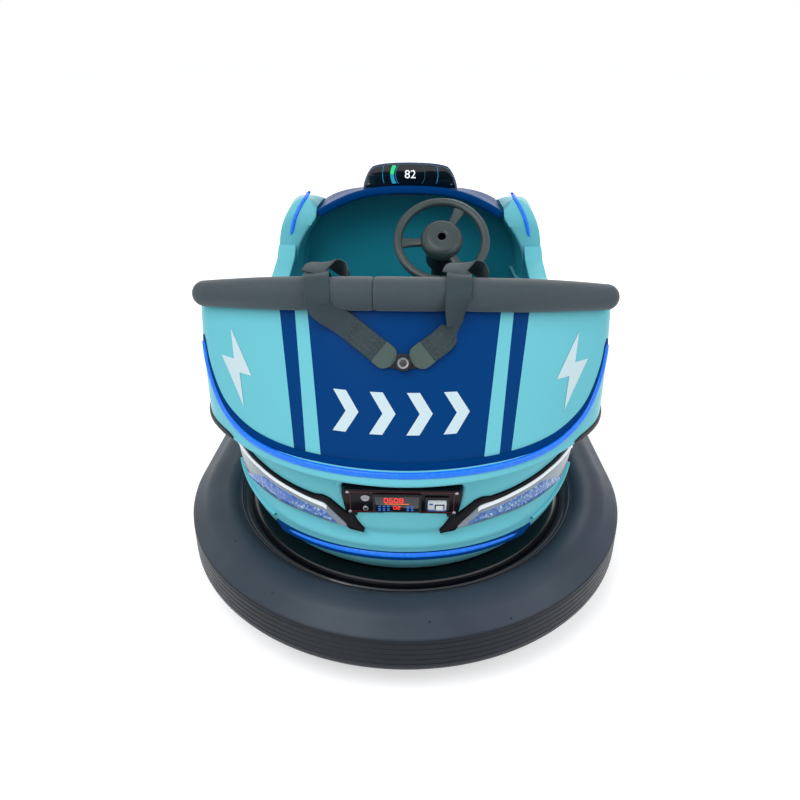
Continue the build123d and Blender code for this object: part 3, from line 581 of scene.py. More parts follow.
def rail():
    """The foam rail: a soft sleeve that thins towards its domed ends, with a seam where two sleeves meet."""
    middle = rail_path(161)
    seam_at = min(range(len(middle)), key=lambda i: abs(middle[i].x - SEAM_X))
    fine = [middle[seam_at - 1].lerp(middle[seam_at + 1], k / 16) for k in range(1, 16)]
    seam_x = fine[7].x
    frames = frames_along(middle[:seam_at] + fine + middle[seam_at + 1:])
    p0, along0 = frames[0][:2]
    p1, along1 = frames[-1][:2]
    turns = spread(0, pi / 2, 9)
    stations = [(p0 - along0 * cos(a), frames[0], sin(a), True) for a in turns[:-1]]
    stations += [(row[0], row, 1, False) for row in frames]
    stations += [(p1 + along1 * sin(a), frames[-1], cos(a), True) for a in turns[1:]]
    loops = []
    for place, (p, along, side, up), swell, cap in stations:
        share = min(abs(p.x) / RAIL_END.x, 1)
        radius = RAIL_RADIUS - 0.0070 * max(0, (share - 0.55) / 0.45) ** 1.5
        if cap:
            place = p + (place - p) * radius
        squeeze = 0.0045 * exp(-((p.x - seam_x) / 0.0010) ** 2) + 0.0012 * exp(-((p.x - seam_x) / 0.006) ** 2)
        squeeze += 0.0016 * sum(exp(-((p.x - x) / width) ** 4) for x, width in STRAP_PRESS)
        r = max(radius * max(swell, 0.04) - squeeze, 0.0006)
        loop = []
        for c, s in ring(1, 40):
            lump = 1 + 0.012 * noise.noise(Vector((p.x * 9, c * 1.3, s * 1.3)))
            loop.append(place + (side * c + up * s) * r * lump)
        loops.append(loop)
    piece = tube_mesh("rear_rail_foam", loops, sharp=50)
    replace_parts(piece, "rear_rail")
    return piece


# Light strips and the borders behind them

STRIP_HALF = ((-0.5, -0.8), (-0.5, 0.35), (-0.42, 0.72), (-0.22, 0.95))
STRIP_SECTION = STRIP_HALF + ((0, 1),) + tuple((-u, w) for u, w in reversed(STRIP_HALF))


def raised_strip(name, places, width, height, outwards):
    """A low strip with a domed face along places; outwards gives its direction off the wall at each."""
    loops = []
    for i, p in enumerate(places):
        along = heading(places, i)
        out = (outwards[i] - along * outwards[i].dot(along)).normalized()
        across = along.cross(out).normalized()
        taper = min(1, 0.35 + 0.65 * min(i, len(places) - 1 - i) / 2)
        loops.append([p + across * (u * width * taper) + out * (w * height) for u, w in STRIP_SECTION])
    return tube_mesh(name, loops, sharp=50)


UPPER_STRIP = ((0.433, 0.668), (0.427, 0.622), (0.413, 0.578), (0.395, 0.545), (0.369, 0.524), (0.330, 0.509),
               (0.285, 0.5025), (0.225, 0.500), (0.145, 0.500), (0, 0.500))


def outward_of(places):
    """Rough outward directions of the back of the car."""
    return [Vector((p.x, (p.y + 0.30) * 1.2, 0.12)).normalized() for p in places]


def shell_run(width_from_strip, lift):
    """The upper strip's line on the shell, moved up the wall by a distance."""
    half = [Vector((x, z + width_from_strip, 0)) for x, z in UPPER_STRIP]
    full = [Vector((-p.x, p.y, 0)) for p in half] + list(reversed(half[:-1]))
    return [shell_point(p.x, p.y, lift) for p in smooth_path(full, 5)]


def hull_point(angle, z, lift=0.0):
    """A place on the hull's rear face: angle in radians from straight back, towards +X."""
    radius = REAR_RADIUS - hull_inset(z) + lift
    return Vector((radius * sin(angle), REAR_Y - radius * cos(angle), z))


LIT = (0.0125, 0.0045, "led_blue")
BORDER_HEIGHT = 0.0014
FENDER_STRIP = ((0.366, 0.622), (0.352, 0.672), (0.333, 0.708), (0.312, 0.733))


def strips_and_borders():
    """The lit strips and navy borders across the back, the fenders' strips and black strips along the shell's
    lower side edges.
    """
    lower = [hull_point(radians(a), 0.270 - 0.012 * (a / 42) ** 2, 0.001) for a in range(-42, 44, 2)]
    under = [hull_point(radians(a), 0.275 - 0.010 * (a / 42) ** 2, 0.0004) for a in range(-46, 48, 2)]
    found = []
    for name, places, width, height, finish in (
            ("upper_light_strip", shell_run(0, 0.0015), *LIT),
            ("upper_strip_border", shell_run(0.013, 0.0004), 0.020, BORDER_HEIGHT, "hood_paint"),
            ("lower_light_strip", lower, *LIT),
            ("lower_strip_border", under, 0.034, BORDER_HEIGHT, "hood_paint")):
        found.append((raised_strip(name, places, width, height, outward_of(places)), finish))
    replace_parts(found[0][0], "led_strips_rear")
    for side, name in SIDES:
        line = [Vector((x, z, 0)) for x, z in FENDER_STRIP]
        places = []
        for p in smooth_path(line, 6):
            y = COWL_REAR
            while y < 0.40 and fender_height(p.x, y) < p.y - 0.0008:
                y += 0.0005
            places.append(Vector((side * p.x, y - 0.001, p.y)))
        outs = [Vector((side * 0.35, -1, 0.25 + 0.9 * k / len(places))).normalized()
                for k in range(len(places))]
        strip = raised_strip(f"fender_light_strip_{name}", places, 0.010, 0.004, outs)
        found.append((strip, "led_blue"))
        if side < 0:
            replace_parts(strip, "led_strips_fender")
    # Black strips along the shell's lower side edges
    for side, name in SIDES:
        outline = shell_outline(0.4865, 241, -0.0004)
        line = outline[:121] if side > 0 else list(reversed(outline[120:]))
        line = [p for p in line if abs(p.x) > 0.36][::2]
        trim = raised_strip(f"shell_edge_black_strip_{name}", line, 0.013, 0.0030, outward_of(line))
        found.append((trim, "black_plastic"))
    return found


# Small shared shapes

def basis(origin, across, up):
    """A matrix whose x runs across, y up and z towards the viewer of that plane."""
    x = Vector(across).normalized()
    z = x.cross(Vector(up)).normalized()
    turn = Matrix((x, z.cross(x), z)).transposed().to_4x4()
    return Matrix.Translation(Vector(origin)) @ turn


def moved(place, x, y, z):
    """A place moved along its own axes."""
    return place @ Matrix.Translation((x, y, z))


def revolved(name, profile, place, count=48):
    """A closed turned solid: profile holds (radius, height) points, turned about the z of place."""
    loops = [[place @ Vector((x, y, h)) for x, y in ring(max(r, 1e-5), count)] for r, h in profile]
    return tube_mesh(name, loops)


def plate(name, outline, depth, place, bevel=0.0006, segments=2):
    """A flat plate from a 2-D outline, its face at z = depth of place."""
    count = len(outline)
    verts = [place @ Vector((x, y, z)) for z in (0, depth) for x, y in outline]
    faces = [tuple(reversed(range(count))), tuple(count + k for k in range(count))]
    faces += [(k, (k + 1) % count, count + (k + 1) % count, count + k) for k in range(count)]
    obj = mesh_object(name, verts, faces)
    if bevel:
        bevel_edges(obj, bevel, segments, 40, 40)
    return obj


def round_rectangle(width, height, radius, x=0.0, y=0.0, steps=5):
    """The outline of a rectangle with rounded corners."""
    dx, dy = width / 2 - radius, height / 2 - radius
    found = []
    for cx, cy, start in ((dx, dy, 0), (-dx, dy, 90), (-dx, -dy, 180), (dx, -dy, 270)):
        for a in spread(radians(start), radians(start + 90), steps):
            found.append((x + cx + radius * cos(a), y + cy + radius * sin(a)))
    return found


def tile(name, width, height, radius, x, y, depth, place, bevel=0, steps=2):
    """A small plate with rounded corners at x and y of place."""
    return plate(name, round_rectangle(width, height, radius, x, y, steps), depth, place, bevel)


def joined(name, pieces):
    """One object from several that share a finish."""
    work = bmesh.new()
    for piece in pieces:
        work.from_mesh(piece.data)
    mesh = bpy.data.meshes.new(name)
    work.to_mesh(mesh)
    work.free()
    obj = linked(name, mesh)
    for piece in pieces:
        old = piece.data
        bpy.data.objects.remove(piece)
        bpy.data.meshes.remove(old)
    shade(obj, 40)
    return obj


# Lit bars of a seven-part digit: top, upper left, upper right, middle, lower left, lower right, bottom
DIGITS = {"0": (1, 1, 1, 0, 1, 1, 1), "2": (1, 0, 1, 1, 1, 0, 1), "6": (1, 1, 0, 1, 1, 1, 1),
          "8": (1, 1, 1, 1, 1, 1, 1)}
DIGIT_DEPTH = 0.0006


def digits(name, number, x, y, height, place):
    """Plain lit digits on a display, left to right from x."""
    width = height * 0.52
    bar = height * 0.13
    half = height / 2
    pieces = []
    for i, figure in enumerate(number):
        left = x + i * (width + bar * 2.2)
        bars = ((left + width / 2, y + half, 1), (left, y + half / 2, 0), (left + width, y + half / 2, 0),
                (left + width / 2, y, 1), (left, y - half / 2, 0), (left + width, y - half / 2, 0),
                (left + width / 2, y - half, 1))
        for lit, (cx, cy, level) in zip(DIGITS[figure], bars):
            if lit:
                size = (width - bar * 0.5, bar) if level else (bar, half - bar * 0.5)
                pieces.append(tile(f"{name}_bar", *size, bar * 0.3, cx, cy, DIGIT_DEPTH, place))
    return joined(name, pieces)


# Tail lights

LAMP_TOP = ((16.4, 0.347), (23.2, 0.389), (35, 0.398), (50, 0.405), (60, 0.404), (68, 0.396), (72, 0.380))
LAMP_LOW = ((16.4, 0.338), (20.2, 0.341), (29.6, 0.344), (41, 0.340), (50, 0.338), (59, 0.334), (63, 0.338),
            (68, 0.356), (72, 0.376))


def hull_patch(name, side, angles, low, high, base, crown):
    """A raised patch on the hull between two heights, each a function of the angle in degrees, domed by crown."""
    loops = []
    for a in angles:
        z0, z1 = low(a), high(a)
        turn = side * radians(a)
        section = [hull_point(turn, z0, -0.002)]
        for k in range(13):
            t = k / 12
            lift = base + crown * (1 - abs(2 * t - 1) ** 3)
            if k in (0, 12):
                lift = base - 0.0012
            section.append(hull_point(turn, z0 + (z1 - z0) * t, lift))
        section.append(hull_point(turn, z1, -0.002))
        loops.append(section)
    return tube_mesh(name, loops, sharp=40)


def tail_lights():
    """Each tail light: a clear bezel, a foil lens, a white bar under a thin black line, and a fin below."""
    def top(a):
        return steps_between(LAMP_TOP, a)

    def low(a):
        return steps_between(LAMP_LOW, a)

    line_low = ((11.2, 0.331), (15.9, 0.333), (16.9, 0.350), (23.2, top(23.2) - 0.001), (24.5, top(24.5)),
                (73, top(73)))
    line_top = ((11.2, 0.339), (13.0, 0.356), (14.6, 0.378), (15.6, 0.372), (21.6, 0.402), (24.0, 0.4065),
                (27, top(27) + 0.010), (34, top(34) + 0.006), (50, top(50) + 0.005), (60, top(60) + 0.005),
                (73, top(73) + 0.005))
    patches = (
        ("bezel", "lamp_bezel", "lamp_lens", spread(16.4, 72, 60), low, top, 0.0070, 0.0006),
        ("lens", "lamp_lens", "lamp_lens", spread(19.8, 60, 50), lambda a: low(a) + 0.0045,
         lambda a: max(low(a) + 0.0045 + (top(a) - low(a) - 0.024) * min(1, (60 - a) / 14 + 0.1),
                       low(a) + 0.0080), 0.0078, 0.0030),
        ("white_bar", "lamp_white", "lamp_lens", spread(22.5, 71, 56), lambda a: top(a) - 0.0105,
         lambda a: top(a) - 0.0008, 0.0084, 0.0018),
        ("black_line", "trim_black", "black_plastic", spread(11.2, 73, 90),
         lambda a: steps_between(line_low, a) + 0.0003, lambda a: steps_between(line_top, a), 0.0060, 0.0016),
        ("fin", "body_paint", "body_paint", spread(45, 74, 30), lambda a: 0.2815 + (a - 45) * 0.0011,
         lambda a: 0.2885 + (a - 45) * 0.0011, 0.0050, 0.0030))
    found = []
    for side, name in SIDES:
        for part, finish, slot, angles, foot, head, base, crown in patches:
            piece = hull_patch(f"tail_{part}_{name}", side, angles, foot, head, base, crown)
            found.append((piece, finish, slot))
    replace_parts(found[0][0], "tail_lights")
    return found


# Control panel

PANEL_PLACE = basis((0, -0.7665, 0.4185), (1, 0, 0), (0, -0.24, 1))
PANEL_EDGE = ((0.124, 0.028), (0.118, 0.0355), (0.112, 0.0375))
WEDGE = ((0.117, -0.030), (0.092, -0.034), (0.094, -0.050), (0.112, -0.047))
SURROUND = ((0.122, -0.036), (0.130, 0.020), (0.127, 0.038), (0.112, 0.0455))
KEY = (-0.075, 0.014)
BUTTON = (-0.075, -0.018)
METER = (-0.010, 0.0005)
METER_FACE = 0.0056


def control_panel():
    """The coin-box panel: face, red pinstripe, screws, key, button, meter with lit figures, and breaker."""
    at = PANEL_PLACE
    found = []

    def add(piece, finish, slot="panel_gloss"):
        found.append((piece, finish, slot))
        return piece

    edge = [(-x, y) for x, y in PANEL_EDGE] + list(reversed(PANEL_EDGE))
    edge += [(0.117, -0.0355), (-0.117, -0.0355)]
    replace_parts(add(plate("panel_body", edge, 0.034, moved(at, 0, 0, -0.034), 0.0018, 3), "panel_gloss"),
                "control_panel")
    for side, name in SIDES:
        wedge = [(side * x, y) for x, y in WEDGE]
        add(plate(f"panel_wedge_{name}", wedge, 0.026, moved(at, 0, 0, -0.030), 0.0012), "black_plastic")
    line = [Vector((-x, y, 0)) for x, y in SURROUND] + [Vector((0, 0.0465, 0))]
    line = smooth_path(line + [Vector((x, y, 0)) for x, y in reversed(SURROUND)], 6)
    border = [at @ Vector((p.x, p.y, -0.010 - 0.9 * p.x * p.x)) for p in line]
    outs = [at.to_3x3() @ Vector((0.25 * p.x / 0.12, 0.5, 1)).normalized() for p in line]
    add(raised_strip("panel_surround", border, 0.0150, 0.0070, outs), "body_paint", "body_paint")
    stripe = [tile("stripe", w, h, 0.0003, x, y, 0.0005, at)
              for x, y, w, h in ((0, 0.0312, 0.212, 0.0011), (0, -0.0295, 0.206, 0.0011),
                                 (-0.1065, 0.001, 0.0011, 0.060), (0.1065, 0.001, 0.0011, 0.060))]
    add(joined("panel_pinstripe", stripe), "red_line")
    screw = ((0, 0.0022), (0.0016, 0.0022), (0.0036, 0.0015), (0.0040, 0.0004), (0.0040, -0.001))
    metal_parts = [revolved("screw", screw, moved(at, x, y, 0), 20)
                   for x, y in ((-0.10767, -0.030), (-0.111, 0.031), (0.10767, -0.030), (0.111, 0.031))]
    for (x, y), r in ((KEY, 0.0092), (BUTTON, 0.0062)):
        collar = ((r * 0.62, 0.0030), (r * 0.85, 0.0032), (r, 0.0020), (r, -0.001))
        metal_parts.append(revolved("collar", collar, moved(at, x, y, 0), 36))
    metal_parts.append(tile("key_slot", 0.0018, 0.0095, 0.0006, *KEY, 0.0036, at))
    add(joined("panel_metal", metal_parts), "steel")
    add(joined("panel_black_pieces", [
        revolved("barrel", [(0, 0.0026), (0.0056, 0.0026), (0.0058, -0.001)], moved(at, *KEY, 0), 28),
        revolved("button", [(0, 0.0050), (0.0030, 0.0047), (0.0040, 0.0035), (0.0040, -0.001)],
                 moved(at, *BUTTON, 0), 28),
        tile("meter_case", 0.100, 0.056, 0.004, *METER, 0.0048, at, 0.0012, 5),
        tile("breaker_frame", 0.050, 0.040, 0.003, 0.072, 0, 0.0040, at, 0.0010, 5)]), "black_plastic")
    glass = add(tile("meter_window", 0.090, 0.046, 0.002, *METER, METER_FACE, at, 0.0004, 5), "screen_glass")
    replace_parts(glass, "panel_meter")
    face = moved(at, 0, 0, METER_FACE)
    add(digits("meter_figures", "0608", -0.036, 0.0125, 0.0130, face), "digit_red")
    add(digits("meter_small_figures", "02", -0.017, -0.0100, 0.0100, face), "digit_red")
    add(tile("meter_line", 0.050, 0.0012, 0.0004, METER[0], 0.0015, 0.0005, face), "digit_amber")
    lights = [tile("light", 0.0050, 0.0026, 0.0010, x, y, 0.0006, face)
              for x in (-0.046, -0.037, -0.028, 0.012, 0.021) for y in (-0.0065, -0.0130, -0.0185)]
    add(joined("meter_indicators", lights), "digit_blue")
    white = "breaker_white"
    body = add(tile("breaker_body", 0.038, 0.028, 0.002, 0.072, -0.001, 0.0100, at, 0.0010, 5), white, white)
    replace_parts(body, "main_breaker")
    marks = [tile("band", 0.038, 0.0040, 0.0006, 0.072, -0.0115, 0.0105, at),
             tile("mark", 0.0075, 0.0050, 0.0006, 0.0595, 0.0075, 0.0105, at)]
    add(joined("breaker_marks", marks), "breaker_blue", white)
    add(tile("breaker_lever", 0.0150, 0.0085, 0.0015, 0.077, 0, 0.0175, at, 0.0015, 5), white, white)
    add(tile("breaker_well", 0.0200, 0.0140, 0.0012, 0.077, 0, 0.0107, at, 0, 5), "black_plastic", white)
    return found


# Display pod

POD_OUTLINE = ((0.1425, 0.735), (0.1420, 0.762), (0.1360, 0.784), (0.1265, 0.8045), (0.1170, 0.8170),
               (0.1040, 0.8250), (0.0600, 0.8320), (0, 0.8340))


def number_mesh(name, number, height, place, depth):
    """A plain number in the built-in typeface, centred on place."""
    curve = bpy.data.curves.new(name, "FONT")
    curve.body = number
    curve.size = height * 1.40
    curve.align_x = "CENTER"
    curve.align_y = "CENTER"
    curve.extrude = depth
    curve.offset = height * 0.002
    holder = linked(name, curve)
    graph = bpy.context.evaluated_depsgraph_get()
    mesh = bpy.data.meshes.new_from_object(holder.evaluated_get(graph))
    bpy.data.objects.remove(holder)
    bpy.data.curves.remove(curve)
    mesh.transform(place)
    return linked(name, mesh)


# Along the pod: how far forward each loop stands, its share of the width and how far its top falls
POD_STATIONS = ((0.3520, 0.970, 0.0040), (0.3523, 0.985, 0.0016), (0.3540, 0.996, 0.0004),
                (0.3565, 1.000, 0.0), (0.370, 0.998, 0.0045), (0.390, 0.985, 0.013), (0.410, 0.960, 0.025),
                (0.428, 0.920, 0.040), (0.442, 0.875, 0.056), (0.452, 0.830, 0.072))
POD_WINDOW = ((0.1360, -0.0400), (0.1370, -0.0350), (0.1290, -0.0100), (0.1190, 0.0110), (0.1020, 0.0220),
              (0.0600, 0.0288), (0.030, 0.0304), (0, 0.0308))
SCREEN_FACE = 0.0022
# Printed gauge arcs with a painted glow: outer and inner radius, first and last angle, finish
GAUGES = (("green", 0.0600, 0.0490, 148, 179.5, "gauge_green"),
          ("cyan", 0.0600, 0.0490, 180.5, 212, "gauge_cyan"),
          ("inner", 0.0450, 0.0438, 142, 218, "gauge_cyan"),
          ("right", 0.0450, 0.0436, -38, 38, "gauge_dim"),
          ("left_side", 0.0840, 0.0825, 162, 198, "gauge_cyan"),
          ("right_side", 0.0840, 0.0825, -18, 18, "gauge_cyan"))


def display_pod():
    """The display's case on the hood, with its wide screen, and printed gauge rings and a plain figure with a
    painted glow.
    """
    line = smooth_path([Vector((x, z, 0)) for x, z in POD_OUTLINE], 3)
    outline = [(p.x, p.y) for p in line] + [(-p.x, p.y) for p in reversed(line[:-1])]
    loops = []
    for y, share, fall in POD_STATIONS:
        loop = []
        for x, z in outline:
            floor = hood_height(x * share, y) - 0.010
            loop.append(Vector((x * share, y, max(z - fall, floor) if z > 0.75 else floor)))
        loops.append(loop)
    case = tube_mesh("display_pod_case", loops, sharp=48)
    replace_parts(case, "display_pod")
    at = basis((0, 0.3518, 0.7990), (1, 0, 0), (0, 0, 1))
    window = [(-x, y) for x, y in POD_WINDOW] + list(reversed(POD_WINDOW[:-1]))
    trim = plate("display_trim", [(x * 1.030, y * 1.055) for x, y in window], 0.0012, at, 0.0004)
    glass = plate("display_glass", window, SCREEN_FACE, at, 0.0005)
    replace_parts(glass, "display_screen")
    face = moved(at, 0, 0, SCREEN_FACE)
    found = [(case, "pod_paint", "panel_gloss"), (trim, "pod_edge", "panel_gloss"),
             (glass, "screen_glass", "screen_glass")]
    # Painted glow: the printed gauge arcs and the figure give their own light
    for name, outer, inner, start, stop, finish in GAUGES:
        run = spread(radians(start), radians(stop), 24)
        arc = [(outer * cos(a), outer * sin(a)) for a in run]
        arc += [(inner * cos(a), inner * sin(a)) for a in reversed(run)]
        arc = [(x, clamp(y, -0.0270, 0.0280)) for x, y in arc]
        found.append((plate(f"gauge_{name}", arc, 0.0005, face, 0), finish, "screen_glass"))
    found.append((number_mesh("gauge_figure", "82", 0.0250, face, 0.0005), "digit_white", "screen_glass"))
    head = ((0, 0.0018), (0.0022, 0.0015), (0.0030, 0.0005), (0.0030, -0.001))
    heads = [revolved("head", head, moved(at, x, -0.029, 0.001), 18) for x in (-0.125, 0.125)]
    found.append((joined("display_screws", heads), "steel", "panel_gloss"))
    return found


# Steering wheel

WHEEL_TILT = radians(48)
WHEEL_PLACE = basis((0.094, 0.172, 0.655), (1, 0, 0), (0, sin(WHEEL_TILT), cos(WHEEL_TILT)))
WHEEL_RADIUS = 0.127
SPOKE_START, SPOKE_STOP = 0.040, 0.122
HUB = ((0.0140, 0.0205), (0.0140, 0.0245), (0.0155, 0.0262), (0.0200, 0.0270), (0.0340, 0.0268),
       (0.0470, 0.0245), (0.0555, 0.0190), (0.0600, 0.0110), (0.0618, 0.0010), (0.0600, -0.0080),
       (0.0540, -0.0130), (0.0140, -0.0138))
HUB_GROOVE = ((0.0450, 0.0252), (0.0462, 0.0262), (0.0476, 0.0256), (0.0480, 0.0238))
# Painted shade: a flat black disc across the hole in the hub's cap
HOLE_SHADE = ((0, 0.0255), (0.0100, 0.0255), (0.0118, 0.0253), (0.0124, 0.0246), (0.0124, 0.0050))


def steering_wheel():
    """A moulded three-spoke wheel with finger swells under the rim, and its padded hub, with a flat black disc
    over the hub's hole as painted shade.
    """
    at = WHEEL_PLACE
    loops = []
    for i in range(144):
        a = 2 * pi * i / 144
        swell = 0.0005 * cos(36 * a)
        loop = []
        for b in [2 * pi * k / 18 for k in range(18)]:
            r = 0.0125 + swell * max(0, -sin(b)) + 0.0004 * cos(2 * b)
            reach = WHEEL_RADIUS + r * cos(b)
            loop.append(at @ Vector((reach * cos(a), reach * sin(a), r * sin(b))))
        loops.append(loop)
    pieces = [tube_mesh("steering_rim", loops, closed=True, sharp=60)]
    for angle in (63, 183, 303):
        turn = at @ Matrix.Rotation(radians(angle), 4, "Z")
        spoke = []
        for t in spread(0, 1, 14):
            r = SPOKE_START + (SPOKE_STOP - SPOKE_START) * t
            half = 0.0170 - 0.0052 * sin(pi * t) + 0.0035 * t * t
            thick = 0.0058 + 0.0022 * (1 - t)
            sink = -0.0020 - 0.0045 * sin(pi * t)
            spoke.append([turn @ Vector((r, half * copysign(abs(c) ** 0.6, c),
                                         sink + thick * copysign(abs(s) ** 0.8, s))) for c, s in ring(1, 16)])
        pieces.append(tube_mesh("spoke", spoke, sharp=50))
    pieces.append(revolved("hub", HUB, at, 72))
    wheel = joined("steering_wheel_moulding", pieces)
    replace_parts(wheel, "steering_wheel")
    groove = revolved("steering_hub_ring", HUB_GROOVE, at, 72)
    # Painted shade: the black disc that stands for the hub's dark hole
    hole_shade = revolved("steering_hole_shade", HOLE_SHADE, at, 40)
    return [(wheel, "wheel_grip", "wheel_grip"), (groove, "wheel_grip", "wheel_grip"),
            (hole_shade, "deep_black", "wheel_grip")]


# Harness

STRAP_WIDTH = 0.050
STRAP_THICK = 0.0030
STRAP_SECTION = ((-0.5, -0.3), (-0.48, 0.5), (-0.25, 0.5), (0, 0.5), (0.25, 0.5), (0.48, 0.5), (0.5, -0.3),
                 (0.25, -0.5), (0, -0.5), (-0.25, -0.5))
SEAM_STITCHES = 13
SEAMS = [((0, -0.40), (1, -0.40)), ((0, 0.40), (1, 0.40)), ((0, -0.40), (1, 0.40)), ((0, 0.40), (1, -0.40))]
SEAMS += [((k / 4, -0.40), (k / 4, 0.40)) for k in range(5)]
SEAMS += [((0, k / 5 - 0.4), (1, k / 5 - 0.4)) for k in range(1, 4)]


def strap_loops(points, outs, width, thick, tip=0.0):
    """Loops of a flat strap through points; outs are rough outward directions, tip rounds its first end."""
    line = smooth_path([Vector(p) for p in points], 8)
    faces = smooth_path([Vector(o) for o in outs], 8)
    loops = []
    frames = []
    for i, p in enumerate(line):
        along = heading(line, i)
        out = (faces[i] - along * faces[i].dot(along)).normalized()
        across = along.cross(out)
        cup = 0.0012 * sin(i * 0.55)
        frames.append((p, across, out))
        reach = min((p - line[0]).length / tip, 1) if tip else 1
        wide = width * max(0.30, sqrt(max(1 - (1 - reach) ** 2, 0)))
        loops.append([p + across * (u * wide) + out * (v * thick + cup * (1 - 4 * u * u))
                      for u, v in STRAP_SECTION])
    return loops, frames


def stitches(name, frames, start, stop):
    """A sewn box with a cross on a strap, from one station to another."""
    def spot(s, u):
        i = start + (stop - start) * s
        low = min(int(i), len(frames) - 2)
        p, across, out = frames[low]
        middle = p.lerp(frames[low + 1][0], i - low)
        return middle + across * (u * STRAP_WIDTH) + out * (STRAP_THICK * 0.5 + 0.0006)

    out = frames[start][2]
    pieces = []
    for (s0, u0), (s1, u1) in SEAMS:
        for k in range(SEAM_STITCHES):
            a, b = (spot(s0 + (s1 - s0) * (k + t) / SEAM_STITCHES, u0 + (u1 - u0) * (k + t) / SEAM_STITCHES)
                    for t in (0.15, 0.80))
            side = (b - a).normalized().cross(out).normalized() * 0.0006
            rise = out * 0.0005
            pieces.append(tube_mesh("stitch", [[p + side, p + rise, p - side, p - rise] for p in (a, b)]))
    return joined(name, pieces)


# Each strap up the shell: x, height and lift off it
BELT_RUNS = {"left": ((-0.0200, 0.6925, 0.0005), (-0.0480, 0.7120, 0), (-0.0860, 0.7370, 0.001),
                      (-0.1230, 0.7600, 0.003)),
             "right": ((0.0190, 0.6935, 0.0005), (0.0480, 0.7130, 0), (0.0780, 0.7330, 0.001),
                       (0.0990, 0.7560, 0.003))}
# Over the rail as a share of x and offsets, down to the buckle, and the loose fold
OVER_RAIL = ((0.96, -0.0385, -0.016), (0.985, -0.0355, 0.016), (1, -0.014, 0.0375), (1.01, 0.010, 0.0400),
             (1.01, 0.036, 0.0270), (1, 0.052, 0.004), (1, 0.078, -0.050))
TO_BUCKLE = ((0.106, 0.700), (0.110, 0.640), (0.110, 0.560), (0.110, 0.528))
FOLD = ((-0.010, 0.004, 0.0410), (-0.002, 0.030, 0.0470), (0.020, 0.054, 0.0440), (0.044, 0.056, 0.0320),
        (0.062, 0.042, 0.0200))
FOLD_OUTS = ((0.1, -0.2, 1), (0.1, 0.1, 1), (0.3, 0.7, 0.6), (0.6, 0.8, 0.3), (0.7, 0.4, 0.4))
# Each strap's place on the rail, its lift off the shell and its twist at the rail
BELT_SET = {"left": (-0.172, 0.0065, -0.20), "right": (0.108, 0.0085, 0.95)}
ANCHOR_Z = 0.690
WASHER = ((0.0095, 0.0165), (0.0135, 0.0165), (0.0155, 0.0150), (0.0160, 0.0120), (0.0160, -0.001))
COLLAR = ((0.0068, 0.0185), (0.0098, 0.0195), (0.0112, 0.0180), (0.0112, 0.0160))


def belts():
    """Both shoulder straps: from the bolt, up the shell, folded over the rail and down to their buckles."""
    found = []
    black = "black_plastic"
    lean = (0, -0.87, 0.49)
    for side, name in SIDES:
        x, lift, twist = BELT_SET[name]
        share = (x / RAIL_END.x) ** 2
        ry = RAIL_MID.y + 0.080 * share
        rz = RAIL_MID.z - 0.036 * share
        points = [tuple(shell_point(px, z, lift + extra)) for px, z, extra in BELT_RUNS[name]]
        points += [(x * part, ry + y, rz + z) for part, y, z in OVER_RAIL]
        points += [(x, ry + y, z) for y, z in TO_BUCKLE]
        outs = [lean, lean, (0.12 * side, -0.86, 0.50), (twist, -0.80, 0.36), (twist * 0.6, -1, 0.12),
                (0, -0.92, 0.42), (0, -0.35, 0.94), (0.10 * side, 0.25, 0.97), (0, 0.80, 0.60),
                (0, 0.95, 0.30), (0, 0.90, 0.44), (0, 1, 0.1), (0, 1, 0), (0, 1, 0), (0, 1, 0)]
        loops, frames = strap_loops(points, outs, STRAP_WIDTH, STRAP_THICK, 0.020)
        end = []
        for loop in loops[:9]:
            middle = sum(loop, Vector()) / len(loop)
            end.append([middle + (p - middle) * 1.03 for p in loop])
        patch = tube_mesh(f"belt_{name}_end", end, sharp=60)
        strap = tube_mesh(f"belt_{name}_webbing", loops, sharp=60)
        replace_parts(strap, f"belt_{name}")
        sewn = stitches(f"belt_{name}_stitches", frames, 9, 20)
        loops, _ = strap_loops([(x + dx, ry + y, rz + z) for dx, y, z in FOLD], FOLD_OUTS, 0.048, 0.0028)
        fold = tube_mesh(f"belt_{name}_fold", loops, sharp=60)
        at = basis((x, ry + 0.110, 0.506), (1, 0, 0), (0, 0, 1))
        body = plate(f"buckle_{name}_case", round_rectangle(0.058, 0.076, 0.008), 0.018,
                     moved(at, 0, 0, -0.009), 0.003, 3)
        button = tile(f"buckle_{name}_button", 0.034, 0.018, 0.003, 0, -0.018, 0.0035,
                      moved(at, 0, 0, -0.0115), 0.0008, 5)
        tongue = tile(f"buckle_{name}_tongue", 0.050, 0.010, 0.002, 0, 0.041, 0.0024,
                      moved(at, 0, 0, -0.0012), 0.0006, 5)
        found += [(strap, "webbing", "webbing"), (sewn, "thread", "webbing"), (fold, "webbing", "webbing"),
                  (patch, "worn_webbing", "webbing"), (body, black, black), (button, "buckle_red", black),
                  (tongue, "steel", black)]
        if side < 0:
            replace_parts(body, "belt_buckles")
    at = basis(shell_point(0, ANCHOR_Z), (1, 0, 0), (0, 0.49, 0.87))
    link = tile("anchor_link", 0.066, 0.030, 0.013, 0, 0, 0.0050, moved(at, 0, 0.004, 0), 0.0016, 5)
    washer = revolved("anchor_plate", WASHER, at, 40)
    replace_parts(washer, "belt_anchor")
    collar = revolved("anchor_ring", COLLAR, at, 40)
    bolt = plate("anchor_bolt", ring(0.0072, 6), 0.0235, at, 0.0008)
    return found + [(link, black, black), (washer, black, black), (collar, "steel", black),
                    (bolt, "motor_black", black)]


# Cushions

